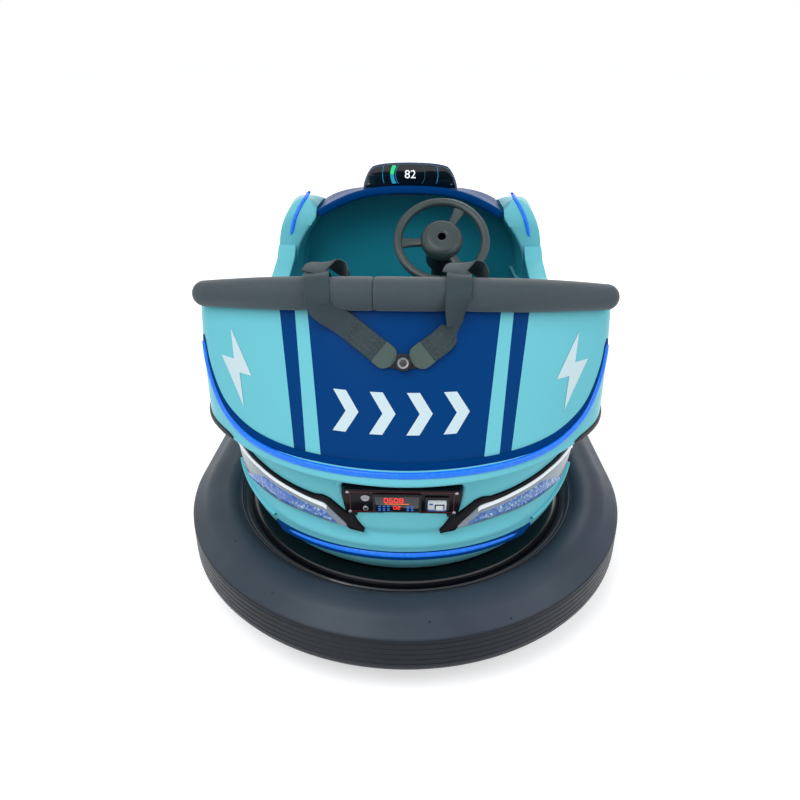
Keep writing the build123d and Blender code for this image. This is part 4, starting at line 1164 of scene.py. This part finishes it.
VOXEL = 0.009
CLOTH = (("quality", 5), ("mass", 0.3), ("tension_stiffness", 12), ("compression_stiffness", 12),
         ("bending_stiffness", 0.6), ("use_pressure", True), ("uniform_pressure_force", 4))
CLOTH_FRAMES = 20
CHANNEL_WIDTH = 0.0055
SEAT_CHANNELS = (0.010, 0.085, 0.160, 0.235)
BACK_CHANNELS = (0.008, 0.075, 0.145, 0.215)


def filled(name, node, scale, cap, ceiling):
    """A pad in the place of a CAD cushion: its shape, slightly smaller, swollen by a cloth simulation."""
    low, high = (Vector(corner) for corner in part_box(node))
    middle = (low + high) / 2
    mesh = nodes[node].data.copy()
    mesh.transform(nodes[node].matrix_world)
    pad = linked(name, mesh)
    for v in mesh.vertices:
        v.co = Vector([middle[k] + (v.co[k] - middle[k]) * scale[k] for k in range(3)])
    modified(pad, "REMESH", mode="VOXEL", voxel_size=VOXEL)
    apply_modifiers(pad)
    start = [v.co.copy() for v in pad.data.vertices]
    cloth = modified(pad, "CLOTH")
    for key, value in CLOTH:
        setattr(cloth.settings, key, value)
    cloth.settings.effector_weights.gravity = 0
    cloth.point_cache.frame_start = 1
    cloth.point_cache.frame_end = CLOTH_FRAMES
    for k in range(1, CLOTH_FRAMES + 1):
        scene.frame_set(k)
    apply_modifiers(pad)
    scene.frame_set(1)
    for v, was in zip(pad.data.vertices, start):
        move = v.co - was
        if move.length > cap:
            v.co = was + move.normalized() * cap
    for v in pad.data.vertices:
        v.co.x = clamp(v.co.x, low.x + 0.001, high.x - 0.001)
        v.co.y = clamp(v.co.y, low.y + 0.001, high.y - 0.001)
        v.co.z = clamp(v.co.z, low.z + 0.0005, high.z + ceiling)
    modified(pad, "SUBSURF", levels=1, render_levels=1)
    apply_modifiers(pad)
    pad.data.shade_smooth()
    return pad


def channel(distances):
    """Depth share of the nearest sewn channel, from the distances to the channels' lines."""
    return max(exp(-(distance / CHANNEL_WIDTH) ** 2) for distance in distances)


def cushions():
    """The seat and the backrest pad, filled, then sewn with channels and edged with piping."""
    seat = filled("seat_pad", "seat_cushion", (0.975, 0.965, 0.74), 0.022, 0.010)
    low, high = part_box("seat_cushion")
    for v in seat.data.vertices:
        top = clamp((v.co.z - low[2] - 0.030) / 0.020)
        depth = channel([abs(v.co.x) - x for x in SEAT_CHANNELS] + [v.co.y - high[1] + 0.075])
        v.co.z -= 0.0085 * top * depth
    back = filled("back_pad", "back_cushion", (0.970, 0.985, 0.93), 0.018, 0.006)
    for v in back.data.vertices:
        if v.normal.y > 0.35:
            depth = channel([abs(v.co.x) - x for x in BACK_CHANNELS] + [v.co.z - 0.560, v.co.z - 0.640])
            v.co.y -= 0.0080 * depth
    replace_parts(seat, "seat_cushion")
    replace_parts(back, "back_cushion")
    line = [p for p, n in oval(0.176, 240) if p.y < high[1] - 0.014]
    cut = max(range(len(line)), key=lambda i: (line[i] - line[i - 1]).length)
    line = line[cut:] + line[:cut]
    line += [line[-1].lerp(line[0], k / 24) for k in range(1, 24)]
    loops = []
    for i, p in enumerate(line):
        out = (line[(i + 1) % len(line)] - line[i - 1]).normalized().cross(Vector((0, 0, 1)))
        at = Vector((p.x, p.y, low[2] + 0.046))
        loops.append([at + out * x + raised(z) for x, z in ring(0.0035, 8)])
    piping = tube_mesh("seat_piping", loops, closed=True, sharp=80)
    return [(seat, "seat_vinyl", "seat_vinyl"), (back, "seat_vinyl", "seat_vinyl"),
            (piping, "piping", "seat_vinyl")]


# Road wheels

ROAD_WHEELS = (("rear_wheel_tyre_left", "rear_wheel_left"), ("rear_wheel_tyre_right", "rear_wheel_right"),
               ("drive_wheel_tyre", "drive_wheel"))
GROOVE_DEPTH = 0.0032


def road_wheels():
    """Grooved tyres over the CAD hubs, and the bolts in the hubs."""
    found = []
    for node, body in ROAD_WHEELS:
        low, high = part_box(node)
        middle = (Vector(low) + Vector(high)) / 2
        radius = (high[2] - low[2]) / 2
        half = (high[0] - low[0]) / 2
        place = basis(middle, (0, 1, 0), (0, 0, 1))
        profile = [(radius - 0.014, -half), (radius - 0.0062, -half), (radius - 0.0050, -half + 0.0006),
                   (radius - 0.0006, -half + 0.0044), (radius, -half + 0.0058)]
        for share in (-0.42, 0, 0.42):
            profile += [(radius - sink, half * share + h) for sink, h in
                        ((0, -0.0022), (GROOVE_DEPTH, -0.0012), (GROOVE_DEPTH, 0.0012), (0, 0.0022))]
        profile += [(r, -h) for r, h in reversed(profile[:5])]
        loops = [[place @ Vector((r * c, -r * s, h)) for r, h in profile] for c, s in ring(1, 96)]
        tyre = tube_mesh(f"{body}_rubber", loops, closed=True, sharp=30)
        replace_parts(tyre, node)
        heads = []
        for side in (-1, 1):
            for y, z in ring(radius * 0.50, 5, 0.3):
                head = basis(middle + Vector((side * 0.0058, y, z)), (0, side, 0), (0, 0, 1))
                heads.append(plate("hub_bolt", ring(0.0062, 6), 0.0046, head))
        found += [(tyre, "wheel_rubber", "wheel_rubber", body),
                  (joined(f"{body}_bolts", heads), "steel", "wheel_hub", body)]
    return found


# Headlights

LAMP_X = 0.215
LENS_RINGS = ((1.0, 0.004), (0.99, 0.0070), (0.90, 0.0092), (0.72, 0.0112), (0.5, 0.0125), (0.25, 0.0132),
              (0.02, 0.0134))
SURROUND_RINGS = ((0, 0.0035), (0, 0.0082), (0.05, 0.0092), (0.11, 0.0070), (0.12, -0.002))


def nose_point(x, z, lift):
    """The place on the hood's front at a distance from the centre line and a height, lifted outwards."""
    near, far = 0.600, FRONT_Y + sqrt(BODY_FRONT ** 2 - x * x)
    for _ in range(30):
        y = (near + far) / 2
        if hood_height(x, y) > z:
            near = y
        else:
            far = y
    step = 0.002
    out = Vector((-(hood_height(x + step, y - step) - hood_height(x - step, y - step)) / (2 * step),
                  -(hood_height(x, y) - hood_height(x, y - step)) / step, 1)).normalized()
    return Vector((x, y, z)) + out * lift


def headlights():
    """Two slanted crowned lenses on the nose, each in a black surround."""
    found = []
    low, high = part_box("headlights")
    mid_z = (low[2] + high[2]) / 2
    outline = round_rectangle(0.116, 0.042, 0.0208, steps=8)
    for side, name in SIDES:
        rings = [[nose_point(side * LAMP_X + x * share, mid_z + z * share, lift) for x, z in outline]
                 for share, lift in LENS_RINGS]
        glass = tube_mesh(f"headlight_lens_{name}", rings, sharp=60)
        border = [[nose_point(side * LAMP_X + x * (1 + grow * 0.5), mid_z + z * (1 + grow * 1.4), lift)
                   for x, z in outline] for grow, lift in SURROUND_RINGS]
        loops = [[row[k] for row in border] for k in range(len(outline))]
        rim = tube_mesh(f"headlight_surround_{name}", loops, closed=True, sharp=60)
        if side < 0:
            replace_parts(glass, "headlights")
        found += [(glass, "lamp_lens", "lamp_lens"), (rim, "black_plastic", "lamp_lens")]
    return found


# Plain applied shapes

CHEVRON = ((0, 0.640), (0.026, 0.640), (0.052, 0.604), (0.026, 0.568), (0, 0.568), (0.026, 0.604))
BOLT = ((0.012, 0.078), (-0.034, -0.006), (-0.006, -0.006), (-0.014, -0.074), (0.036, 0.018), (0.006, 0.018))


def decal(name, outline):
    """A thin applied shape on the shell from an outline of (x, z) points."""
    work = bmesh.new()
    work.faces.new([work.verts.new((x, z, 0)) for x, z in outline])
    bmesh.ops.triangulate(work, faces=work.faces)
    for _ in range(6):
        long_edges = [e for e in work.edges if e.calc_length() > 0.012]
        if not long_edges:
            break
        bmesh.ops.subdivide_edges(work, edges=long_edges, cuts=1)
        bmesh.ops.triangulate(work, faces=work.faces)
    for v in work.verts:
        v.co = shell_point(v.co.x, v.co.y, 0.0009)
    mesh = bpy.data.meshes.new(name)
    work.to_mesh(mesh)
    work.free()
    obj = linked(name, mesh)
    if obj.data.polygons[0].normal.y > 0:
        obj.data.flip_normals()
    modified(obj, "SOLIDIFY", thickness=0.0012, offset=-1)
    apply_modifiers(obj)
    obj.data.shade_smooth()
    return obj


def decals():
    """Chevrons across the middle panel and a bolt shape on each side."""
    shapes = [decal("chevron", [(x + start, z) for x, z in CHEVRON])
              for start in spread(-0.140, 0.082, 3)]
    shapes += [decal("bolt", [(side * (0.350 + x), 0.640 + z) for x, z in BOLT]) for side in (-1, 1)]
    return [(joined("shell_shapes", shapes), "decal_pale", "body_paint")]


# Camera, light and floor

CAMERA_PLACE = (0.0282, -2.1097, 1.437)
CAMERA_TURN = (60.0, 0.0, 1.375)
CAMERA_LENS = 36.675
SENSOR_WIDTH = 36
WHITE = (1, 1, 1, 1)
WORLD_LEVEL = 0.55
FLOOR_LIFT = 0.52
FLOOR_RADIUS = 9
FLOOR_CORNERS = 48
# Each light: its place, the height that it points at, its size and its power
LIGHTS = {"key": ((-1.5, -2.2, 3.6), 0.4, 2.4, 62), "fill": ((2.8, -1.8, 2.6), 0.4, 2.0, 26),
          "back": ((0.4, 3.2, 3.0), 0.5, 2.4, 42)}


def add_camera():
    """The main view: from behind and above, turned a little to the left."""
    data = bpy.data.cameras.new("camera")
    data.sensor_width = SENSOR_WIDTH
    data.lens = CAMERA_LENS
    camera = linked("camera", data)
    camera.location = CAMERA_PLACE
    camera.rotation_euler = [radians(a) for a in CAMERA_TURN]
    scene.camera = camera


def area_light(name, place, aim, size, power):
    """A square soft light that points at a height above the origin."""
    data = bpy.data.lights.new(name, "AREA")
    data.size = size
    data.energy = power
    light = linked(name, data)
    light.location = place
    light.rotation_euler = (raised(aim) - Vector(place)).to_track_quat("-Z", "Y").to_euler()


def add_node(tree, kind, inputs, **settings):
    """A new shader node with its settings and its inputs, each a value or another node's output."""
    node = tree.nodes.new(f"ShaderNode{kind}")
    for key, value in settings.items():
        setattr(node, key, value)
    for key, item in inputs.items():
        if isinstance(item, bpy.types.NodeSocket):
            tree.links.new(item, node.inputs[key])
        else:
            node.inputs[key].default_value = item
    return node.outputs


def seen_directly(tree):
    """1 for camera, glossy and transmitted rays, 0 for the rest."""
    rays = add_node(tree, "LightPath", {})
    total = rays["Is Camera Ray"]
    for name in ("Is Glossy Ray", "Is Transmission Ray"):
        total = add_node(tree, "Math", {0: total, 1: rays[name]}, operation="MAXIMUM")[0]
    return total


def add_stage():
    """White world, soft lights and a pale floor that keeps the shadow."""
    world = bpy.data.worlds.new("world")
    scene.world = world
    world.use_nodes = True
    tree = world.node_tree
    base = tree.nodes["Background"]
    base.inputs["Color"].default_value = WHITE
    base.inputs["Strength"].default_value = WORLD_LEVEL
    white = add_node(tree, "Background", {"Color": WHITE, "Strength": 1})
    mix = add_node(tree, "MixShader", {0: seen_directly(tree), 1: base.outputs[0], 2: white[0]})
    tree.links.new(mix[0], tree.nodes["World Output"].inputs["Surface"])
    for name, row in LIGHTS.items():
        area_light(name, *row)
    mesh = bpy.data.meshes.new("floor")
    corners = [(x, y, 0) for x, y in ring(FLOOR_RADIUS, FLOOR_CORNERS)]
    mesh.from_pydata(corners, [], [tuple(range(FLOOR_CORNERS))])
    floor = linked("floor", mesh)
    paint = bpy.data.materials.new("floor")
    paint.use_nodes = True
    tree = paint.node_tree
    shader = tree.nodes["Principled BSDF"]
    shader.inputs["Base Color"].default_value = (0.82, 0.83, 0.85, 1)
    shader.inputs["Roughness"].default_value = 0.9
    shader.inputs["Specular IOR Level"].default_value = 0.1
    lift = add_node(tree, "Math", {0: seen_directly(tree), 1: FLOOR_LIFT}, operation="MULTIPLY")
    glow = add_node(tree, "Emission", {"Color": WHITE, "Strength": lift[0]})
    both = add_node(tree, "AddShader", {0: shader.outputs[0], 1: glow[0]})
    tree.links.new(both[0], tree.nodes["Material Output"].inputs["Surface"])
    mesh.materials.append(paint)
    scene.view_settings.view_transform = "Standard"


# Bumper tyre and rim

TREAD_TOP = 0.152
TREAD_STEP = 0.0145
BEAD_LINES = ((0.1345, 0.1757), (0.1255, 0.1822))
RIM_SECTION = ((0.1505, 0.088), (0.1505, 0.166), (0.152, 0.176), (0.157, 0.1825), (0.163, 0.1838),
               (0.170, 0.1825), (0.178, 0.1812), (0.200, 0.1812), (0.212, 0.1812), (0.212, 0.176),
               (0.166, 0.176), (0.160, 0.172), (0.158, 0.165), (0.158, 0.088))


def tyre_profile():
    """The tyre's section as (inset, height), from the bead over the crown and the tread round to the bead."""
    upper = [(0.150, 0.164), (0.141, 0.174), (0.137, 0.1765), (0.134, 0.1755), (0.129, 0.1800)]
    upper += [(0.075 + 0.052 * cos(a), 0.160 + 0.0395 * sin(a) ** 0.9)
              for a in spread(radians(28), radians(150), 22)[1:-1]]
    shoulder = [(0.0175, 0.1722), (0.008, 0.1655), (0.0025, 0.1612), (0.0008, 0.1585)]
    tread = []
    for k in range(5):
        z = TREAD_TOP - k * TREAD_STEP
        tread += [(0.0004, z), (0.0017, z - 0.0010), (0.0017, z - 0.0020), (0.0004, z - 0.0030)]
    low = [(0.0010, 0.0800), (0.0060, 0.0715), (0.0200, 0.0620), (0.045, 0.0530), (0.075, 0.0500),
           (0.105, 0.0540), (0.130, 0.0660), (0.140, 0.0780), (0.150, 0.0880)]
    return upper + shoulder + tread + low


def bumper_tyre():
    """The inflated ring round the car, with circumferential mould lines."""
    tyre = hoop("bumper_tyre_ring", tyre_profile(), 288, 28)
    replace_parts(tyre, "bumper_tyre")
    return tyre


def bead_lines():
    """Two fine raised lines on the tyre beside its bead, worn shiny."""
    pieces = []
    for inset, z in BEAD_LINES:
        profile = [(inset + 0.0016 * c, z + 0.0020 * s) for c, s in ring(1, 8)]
        pieces.append(hoop("bead_line", profile, 240, 60))
    return joined("tyre_bead_lines", pieces)


def bumper_rim():
    """The gloss rim between the tyre's bead and the hull: a web and a rolled deck."""
    rim = hoop("bumper_rim_ring", RIM_SECTION, 240, 40)
    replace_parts(rim, "bumper_rim")
    return rim


# Finishes

COAT_ROUGHNESS = 0.05


class Finish:
    """A Principled material with short ways to add procedural detail in object space."""

    def __init__(self, name, colour, roughness, metal=0.0, coat=0.0, sheen=0.0, shine=0.5):
        self.material = bpy.data.materials.new(name)
        self.material.use_nodes = True
        self.tree = self.material.node_tree
        self.shader = self.tree.nodes["Principled BSDF"]
        self.colour = self.value(colour)
        self.rough = self.add("Value")[0]
        self.rough.default_value = roughness
        for socket, amount in (("Metallic", metal), ("Coat Weight", coat), ("Coat Roughness", COAT_ROUGHNESS),
                               ("Sheen Weight", sheen), ("Specular IOR Level", shine)):
            self.shader.inputs[socket].default_value = amount
        self.place = self.add("TexCoord")["Object"]
        self.relief = None

    def add(self, kind, inputs=None, **settings):
        """The outputs of a new node."""
        return add_node(self.tree, kind, inputs or {}, **settings)

    def value(self, colour):
        """A colour written as 0 to 255 sRGB values, as a socket."""
        socket = self.add("RGB")[0]
        socket.default_value = (*[linear(c) for c in colour], 1)
        return socket

    def math(self, operation, *terms):
        """One step of arithmetic on sockets or numbers."""
        return self.add("Math", dict(enumerate(terms)), operation=operation)[0]

    def axes(self, vector=None):
        """The x, y and z of a vector, or of the place in object space, as sockets."""
        return self.add("SeparateXYZ", {0: vector or self.place}).values()

    def noise(self, scale, detail=3.0, stretch=None):
        """Noise over the object, 0 to 1."""
        where = self.place
        if stretch:
            where = self.add("Mapping", {"Scale": stretch, "Vector": where})[0]
        return self.add("TexNoise", {"Scale": scale, "Detail": detail, "Vector": where})["Fac"]

    def cells(self, scale, output="Distance"):
        """Voronoi cells over the object."""
        return self.add("TexVoronoi", {"Scale": scale, "Vector": self.place})[output]

    def band(self, socket, low, high):
        """0 at low and 1 at high, held between."""
        return self.add("MapRange", {"From Min": low, "From Max": high, "Value": socket})[0]

    def blend(self, share, amount, colour):
        """Mixes a second colour over the base by an amount of a share."""
        inputs = {"Factor": self.math("MULTIPLY", share, amount), "A": self.colour, "B": self.value(colour)}
        self.colour = self.add("Mix", inputs, data_type="RGBA")["Result"]

    def rougher(self, share, amount):
        """Adds a share of an amount to the roughness."""
        self.rough = self.math("MULTIPLY_ADD", share, amount, self.rough)

    def bump(self, socket, depth):
        """Adds relief of a depth in metres."""
        below = {"Normal": self.relief} if self.relief else {}
        self.relief = self.add("Bump", {"Strength": 1, "Distance": depth, "Height": socket, **below})[0]

    def done(self, glow=0.0):
        """Links everything and returns the material; glow is the strength of its own light."""
        ends = {"Base Color": self.colour, "Roughness": self.rough, "Normal": self.relief}
        if glow:
            ends["Emission Color"] = self.colour
            self.shader.inputs["Emission Strength"].default_value = glow
        for key, socket in ends.items():
            self.tree.links.new(socket, self.shader.inputs[key])
        return self.material


def linear(value):
    """One 0 to 255 sRGB channel as linear light."""
    c = value / 255
    return c / 12.92 if c <= 0.04045 else ((c + 0.055) / 1.055) ** 2.4


def shifted(colour, step):
    """A colour with each channel moved by a step."""
    return [clamp(c + step, 0, 255) for c in colour]


CYAN = (118, 208, 222)
NAVY = (0, 62, 126)
# Dark teal for painted shade: the cockpit's inner faces, the toe board and the seat box
SHADE_TEAL = (34, 142, 164)
# The shell's stripes: half width at their foot, slope and whether navy covers them
STRIPES = ((0.221, 0.130, True), (0.196, 0.100, False), (0.1645, 0.120, True))


def gel_coat(name, colour, striped=False, shine=0.06):
    """Glossy moulded fibreglass: fine waviness, fine scratches and dust low down, with painted shade in dark teal
    on faces that look into the cockpit.
    """
    f = Finish(name, colour, 0.20, shine=shine)
    x, y, z = f.axes()
    f.blend(f.noise(3.1), 0.16, shifted(colour, -26))
    if striped:
        away = f.math("ABSOLUTE", x)
        rise = f.math("SUBTRACT", z, 0.52)
        above = f.math("GREATER_THAN", z, 0.508)
        for width, slope, navy in STRIPES:
            edge = f.math("MULTIPLY_ADD", rise, slope, width)
            f.blend(f.math("LESS_THAN", away, edge), above, NAVY if navy else colour)
    # Painted shade: faces turned in towards the cockpit, and faces behind the riders that look forward, blended
    # to dark teal
    facing = f.axes(f.add("NewGeometry")["Normal"])
    inward = f.math("MULTIPLY", f.math("MULTIPLY", facing[0], f.math("SIGN", x)), -1)
    ahead = f.math("MULTIPLY", facing[1], f.math("LESS_THAN", y, -0.30))
    inside = f.math("MULTIPLY", f.band(f.math("MAXIMUM", inward, ahead), 0.35, 0.75),
                    f.math("GREATER_THAN", z, 0.15))
    f.blend(inside, 0.92, SHADE_TEAL)
    grime = f.math("MULTIPLY", f.band(z, 0.26, 0.19), f.noise(24, 5))
    f.blend(grime, 0.5, (70, 86, 92))
    f.rougher(f.noise(14, 6), 0.10)
    f.rougher(grime, 0.35)
    f.bump(f.noise(7, 2), 0.0006)
    f.bump(f.noise(420, 2), 0.00004)
    return f.done()


def rubber(name, colour, roughness, dusty):
    """Moulded rubber: fine grain, cloudy dust and slight sheen."""
    f = Finish(name, colour, roughness, sheen=0.03)
    f.blend(f.band(f.noise(9, 6), 0.42, 0.72), dusty, (112, 118, 122))
    f.rougher(f.noise(40, 5), 0.16)
    f.bump(f.noise(260, 4), 0.00022)
    f.bump(f.cells(900), 0.00006)
    return f.done()


def bumper_rubber(name):
    """The tyre's rubber: painted shade on the tread below the shoulder, cloudy and faintly blue above, with mould
    pips.
    """
    f = Finish(name, (58, 67, 78), 0.30, shine=0.16)
    z = f.axes()[2]
    f.blend(f.band(f.noise(5, 5), 0.40, 0.70), 0.40, (78, 88, 98))
    f.blend(f.band(f.noise(2.3, 3), 0.50, 0.75), 0.25, (52, 48, 84))
    f.blend(f.band(f.cells(17), 0.060, 0.035), 0.7, (16, 18, 22))
    # Painted shade: the tread below the shoulder is made darker than the rest of the tyre
    f.blend(f.band(z, 0.1635, 0.1585), 0.84, (18, 22, 29))
    f.rougher(f.noise(30, 6), 0.16)
    f.bump(f.noise(260, 4), 0.00014)
    f.bump(f.noise(9, 3), 0.0010)
    return f.done()


def painted(name, colour, roughness, wear=0.2, coat=0.0, shine=0.5):
    """Painted or moulded hard surface: orange peel and slight wear."""
    f = Finish(name, colour, roughness, coat=coat, shine=shine)
    f.blend(f.band(f.noise(30, 8), 0.55, 0.75), wear, shifted(colour, 34))
    f.rougher(f.noise(60, 4), 0.14)
    f.bump(f.noise(500, 2), 0.00005)
    return f.done()


def metal(name, colour, roughness):
    """Plated or cast metal: brushed streaks and a mottled sheen."""
    f = Finish(name, colour, roughness, metal=1.0)
    f.blend(f.noise(35, 5), 0.35, shifted(colour, -60))
    f.rougher(f.noise(90, 4, (1, 1, 14)), 0.22)
    f.bump(f.noise(380, 3, (1, 1, 10)), 0.00006)
    return f.done()


def foam(name, colour):
    """Closed-cell foam sleeve: soft, cellular and matt."""
    f = Finish(name, colour, 0.62, sheen=0.25)
    f.blend(f.noise(16, 5), 0.5, shifted(colour, 20))
    f.bump(f.cells(1100), 0.00020)
    f.bump(f.noise(60, 4), 0.0006)
    f.rougher(f.noise(80, 3), 0.15)
    return f.done()


def woven(name, colour):
    """Woven webbing: fine ribs along the strap and a slight sheen."""
    f = Finish(name, colour, 0.55, sheen=0.08)
    x, y, z = f.axes()
    ribs = f.math("SINE", f.math("MULTIPLY", x, 2600))
    rows = f.math("SINE", f.math("MULTIPLY", f.math("ADD", y, z), 1900))
    weave = f.math("MULTIPLY", ribs, rows)
    f.bump(weave, 0.00025)
    f.blend(f.math("MULTIPLY_ADD", weave, 0.12, 0.12), 1, shifted(colour, 30))
    f.rougher(f.noise(60, 3), 0.2)
    return f.done()


def vinyl(name, colour):
    """Grained upholstery vinyl."""
    f = Finish(name, colour, 0.42, sheen=0.1)
    f.bump(f.cells(330), 0.00035)
    f.bump(f.noise(14, 3), 0.0008)
    f.blend(f.noise(12, 5), 0.4, shifted(colour, 22))
    f.rougher(f.noise(30, 4), 0.2)
    return f.done()


def light_strip(name):
    """Blue silicone with lit diodes in a row behind it."""
    f = Finish(name, (0, 104, 222), 0.30)
    f.blend(f.band(f.cells(95), 0.5, 0.05), 0.28, (20, 160, 255))
    f.bump(f.noise(200, 3), 0.00010)
    f.rougher(f.noise(50, 3), 0.1)
    return f.done(0.34)


def lens(name):
    """A pale lens over a crushed-foil reflector: the foil's facets in pale and deep blue, the pale ones a painted
    glint.
    """
    f = Finish(name, (66, 130, 190), 0.14, coat=0.3)
    foil = f.add("SeparateColor", {0: f.cells(190, "Color")})
    # The crushed foil's facets, with the pale ones as painted glints
    f.blend(f.band(foil[0], 0.50, 0.98), 0.85, (192, 222, 240))
    f.blend(f.band(foil[1], 0.5, 0.9), 0.85, (34, 66, 176))
    f.blend(f.band(f.noise(14, 3), 0.5, 0.62), 0.5, (40, 96, 214))
    f.bump(foil[2], 0.0007)
    f.rougher(foil[0], 0.15)
    return f.done()


def screen(name):
    """A dark glossy screen."""
    f = Finish(name, (6, 12, 20), 0.06, coat=1.0, shine=0.12)
    f.blend(f.noise(5, 3), 0.5, (16, 30, 44))
    f.rougher(f.noise(90, 5), 0.10)
    f.bump(f.noise(40, 2), 0.00003)
    return f.done()


def glowing(name, colour, strength):
    """A small piece that gives its own light, with slight unevenness; on the pod's printed gauge marks and figure
    that light is a painted glow.
    """
    f = Finish(name, colour, 0.3)
    f.blend(f.noise(220, 3), 0.25, shifted(colour, 50))
    f.bump(f.noise(300, 2), 0.00003)
    return f.done(strength)


# Each finish: its maker and what it takes; painted takes colour, roughness, wear, coat and shine
FINISHES = {
    "tyre_rubber": (bumper_rubber,),
    "rim_black": (painted, (8, 9, 14), 0.12, 0.1, 0.6),
    "frame_paint": (painted, (40, 41, 44), 0.45),
    "body_paint": (gel_coat, CYAN),
    "shell_paint": (gel_coat, CYAN, True),
    "hood_paint": (gel_coat, NAVY, False, 0.015),
    # Painted shade: the dark teal of the shaded cockpit, as a finish of its own
    "inner_paint": (gel_coat, SHADE_TEAL),
    "seat_vinyl": (vinyl, (46, 50, 60)),
    "piping": (vinyl, (26, 96, 150)),
    "battery_case": (painted, (62, 64, 68), 0.5),
    "rail_foam": (foam, (43, 58, 66)),
    "steel": (metal, (176, 178, 182), 0.28),
    "motor_black": (painted, (44, 45, 48), 0.4),
    "wheel_rubber": (rubber, (38, 38, 38), 0.6, 0.4),
    "wheel_hub": (metal, (120, 122, 126), 0.45),
    "wheel_grip": (rubber, (44, 60, 62), 0.30, 0.10),
    "black_plastic": (painted, (30, 31, 34), 0.38, 0.2, 0, 0.25),
    "panel_gloss": (painted, (10, 9, 16), 0.16, 0.05, 0.1, 0.12),
    "breaker_white": (painted, (214, 220, 226), 0.3, 0.05),
    "screen_glass": (screen,),
    "lamp_lens": (lens,),
    "led_blue": (light_strip,),
    "webbing": (woven, (28, 49, 56)),
    # A paler tone for the patch on each strap's end
    "worn_webbing": (woven, (66, 86, 82)),
    "thread": (woven, (76, 90, 90)),
    # Painted shade: unlit black without reflection for the hub's hole
    "deep_black": (painted, (4, 4, 5), 0.8, 0, 0, 0),
    "trim_black": (painted, (6, 6, 12), 0.25, 0.05, 0, 0.12),
    "pod_paint": (painted, (6, 44, 92), 0.25, 0.1, 0.1, 0.15),
    "lamp_bezel": (painted, (122, 138, 150), 0.16, 0.3, 0.3),
    "lamp_white": (glowing, (226, 234, 240), 0.22),
    "red_line": (painted, (120, 26, 30), 0.35),
    "digit_red": (glowing, (255, 40, 24), 0.9),
    "digit_amber": (glowing, (255, 120, 20), 0.6),
    "digit_blue": (glowing, (40, 110, 220), 0.35),
    # Painted glow: the printed marks and the figure on the display pod
    "digit_white": (glowing, (236, 244, 248), 0.6),
    "gauge_green": (glowing, (40, 214, 130), 0.5),
    "gauge_dim": (glowing, (44, 92, 104), 0.15),
    "pod_edge": (painted, (88, 112, 138), 0.2, 0.2, 0, 0.2),
    "gauge_cyan": (glowing, (30, 150, 190), 0.35),
    "breaker_blue": (painted, (40, 104, 190), 0.3, 0.1),
    "buckle_red": (painted, (170, 24, 24), 0.3, 0.1),
    "decal_pale": (gel_coat, (214, 236, 244)),
}


def paint_nodes(finishes):
    """Gives every shown CAD node the material of its slot."""
    for row in frame["record"]["subparts"]:
        obj = nodes[row["node"]]
        material = finishes[row["material_slot"]]
        if not obj.material_slots:
            obj.data.materials.append(material)
        for place in obj.material_slots:
            place.material = material


def dress(obj, finish, slot, finishes, body="root"):
    """Gives a new piece its finish and the body that it rides on; slot is not used."""
    obj.data.materials.clear()
    obj.data.materials.append(finishes[finish])
    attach(obj, body)


def main():
    """Builds the dressed car."""
    add_camera()
    add_stage()
    finishes = {name: make(name, *values) for name, (make, *values) in FINISHES.items()}
    paint_nodes(finishes)
    pieces = [(bumper_tyre(), "tyre_rubber"), (bumper_rim(), "rim_black"), (lower_hull(), "body_paint")]
    pieces += [(make(*pair), "body_paint") for make in (side_wall, fender) for pair in SIDES]
    pieces += [(hood(), "hood_paint"), (rail(), "rail_foam")]
    pieces += strips_and_borders()
    for piece, slot in pieces:
        dress(piece, slot, slot, finishes)
    dress(bead_lines(), "rim_black", "tyre_rubber", finishes)
    # Painted shade: the toe board and the seat box take the dark teal of the shaded cockpit
    for name in ("toe_board", "seat_box"):
        for place in nodes[name].material_slots:
            place.material = finishes["inner_paint"]
    dress(rear_shell(), "shell_paint", "body_paint", finishes)
    for piece, finish, slot in tail_lights() + control_panel() + display_pod() + belts() + decals():
        dress(piece, finish, slot, finishes)
    for piece, finish, slot in cushions() + headlights():
        dress(piece, finish, slot, finishes)
    for piece, finish, slot, body in road_wheels():
        dress(piece, finish, slot, finishes, body)
    for piece, finish, slot in steering_wheel():
        dress(piece, finish, slot, finishes, "steering")


main()
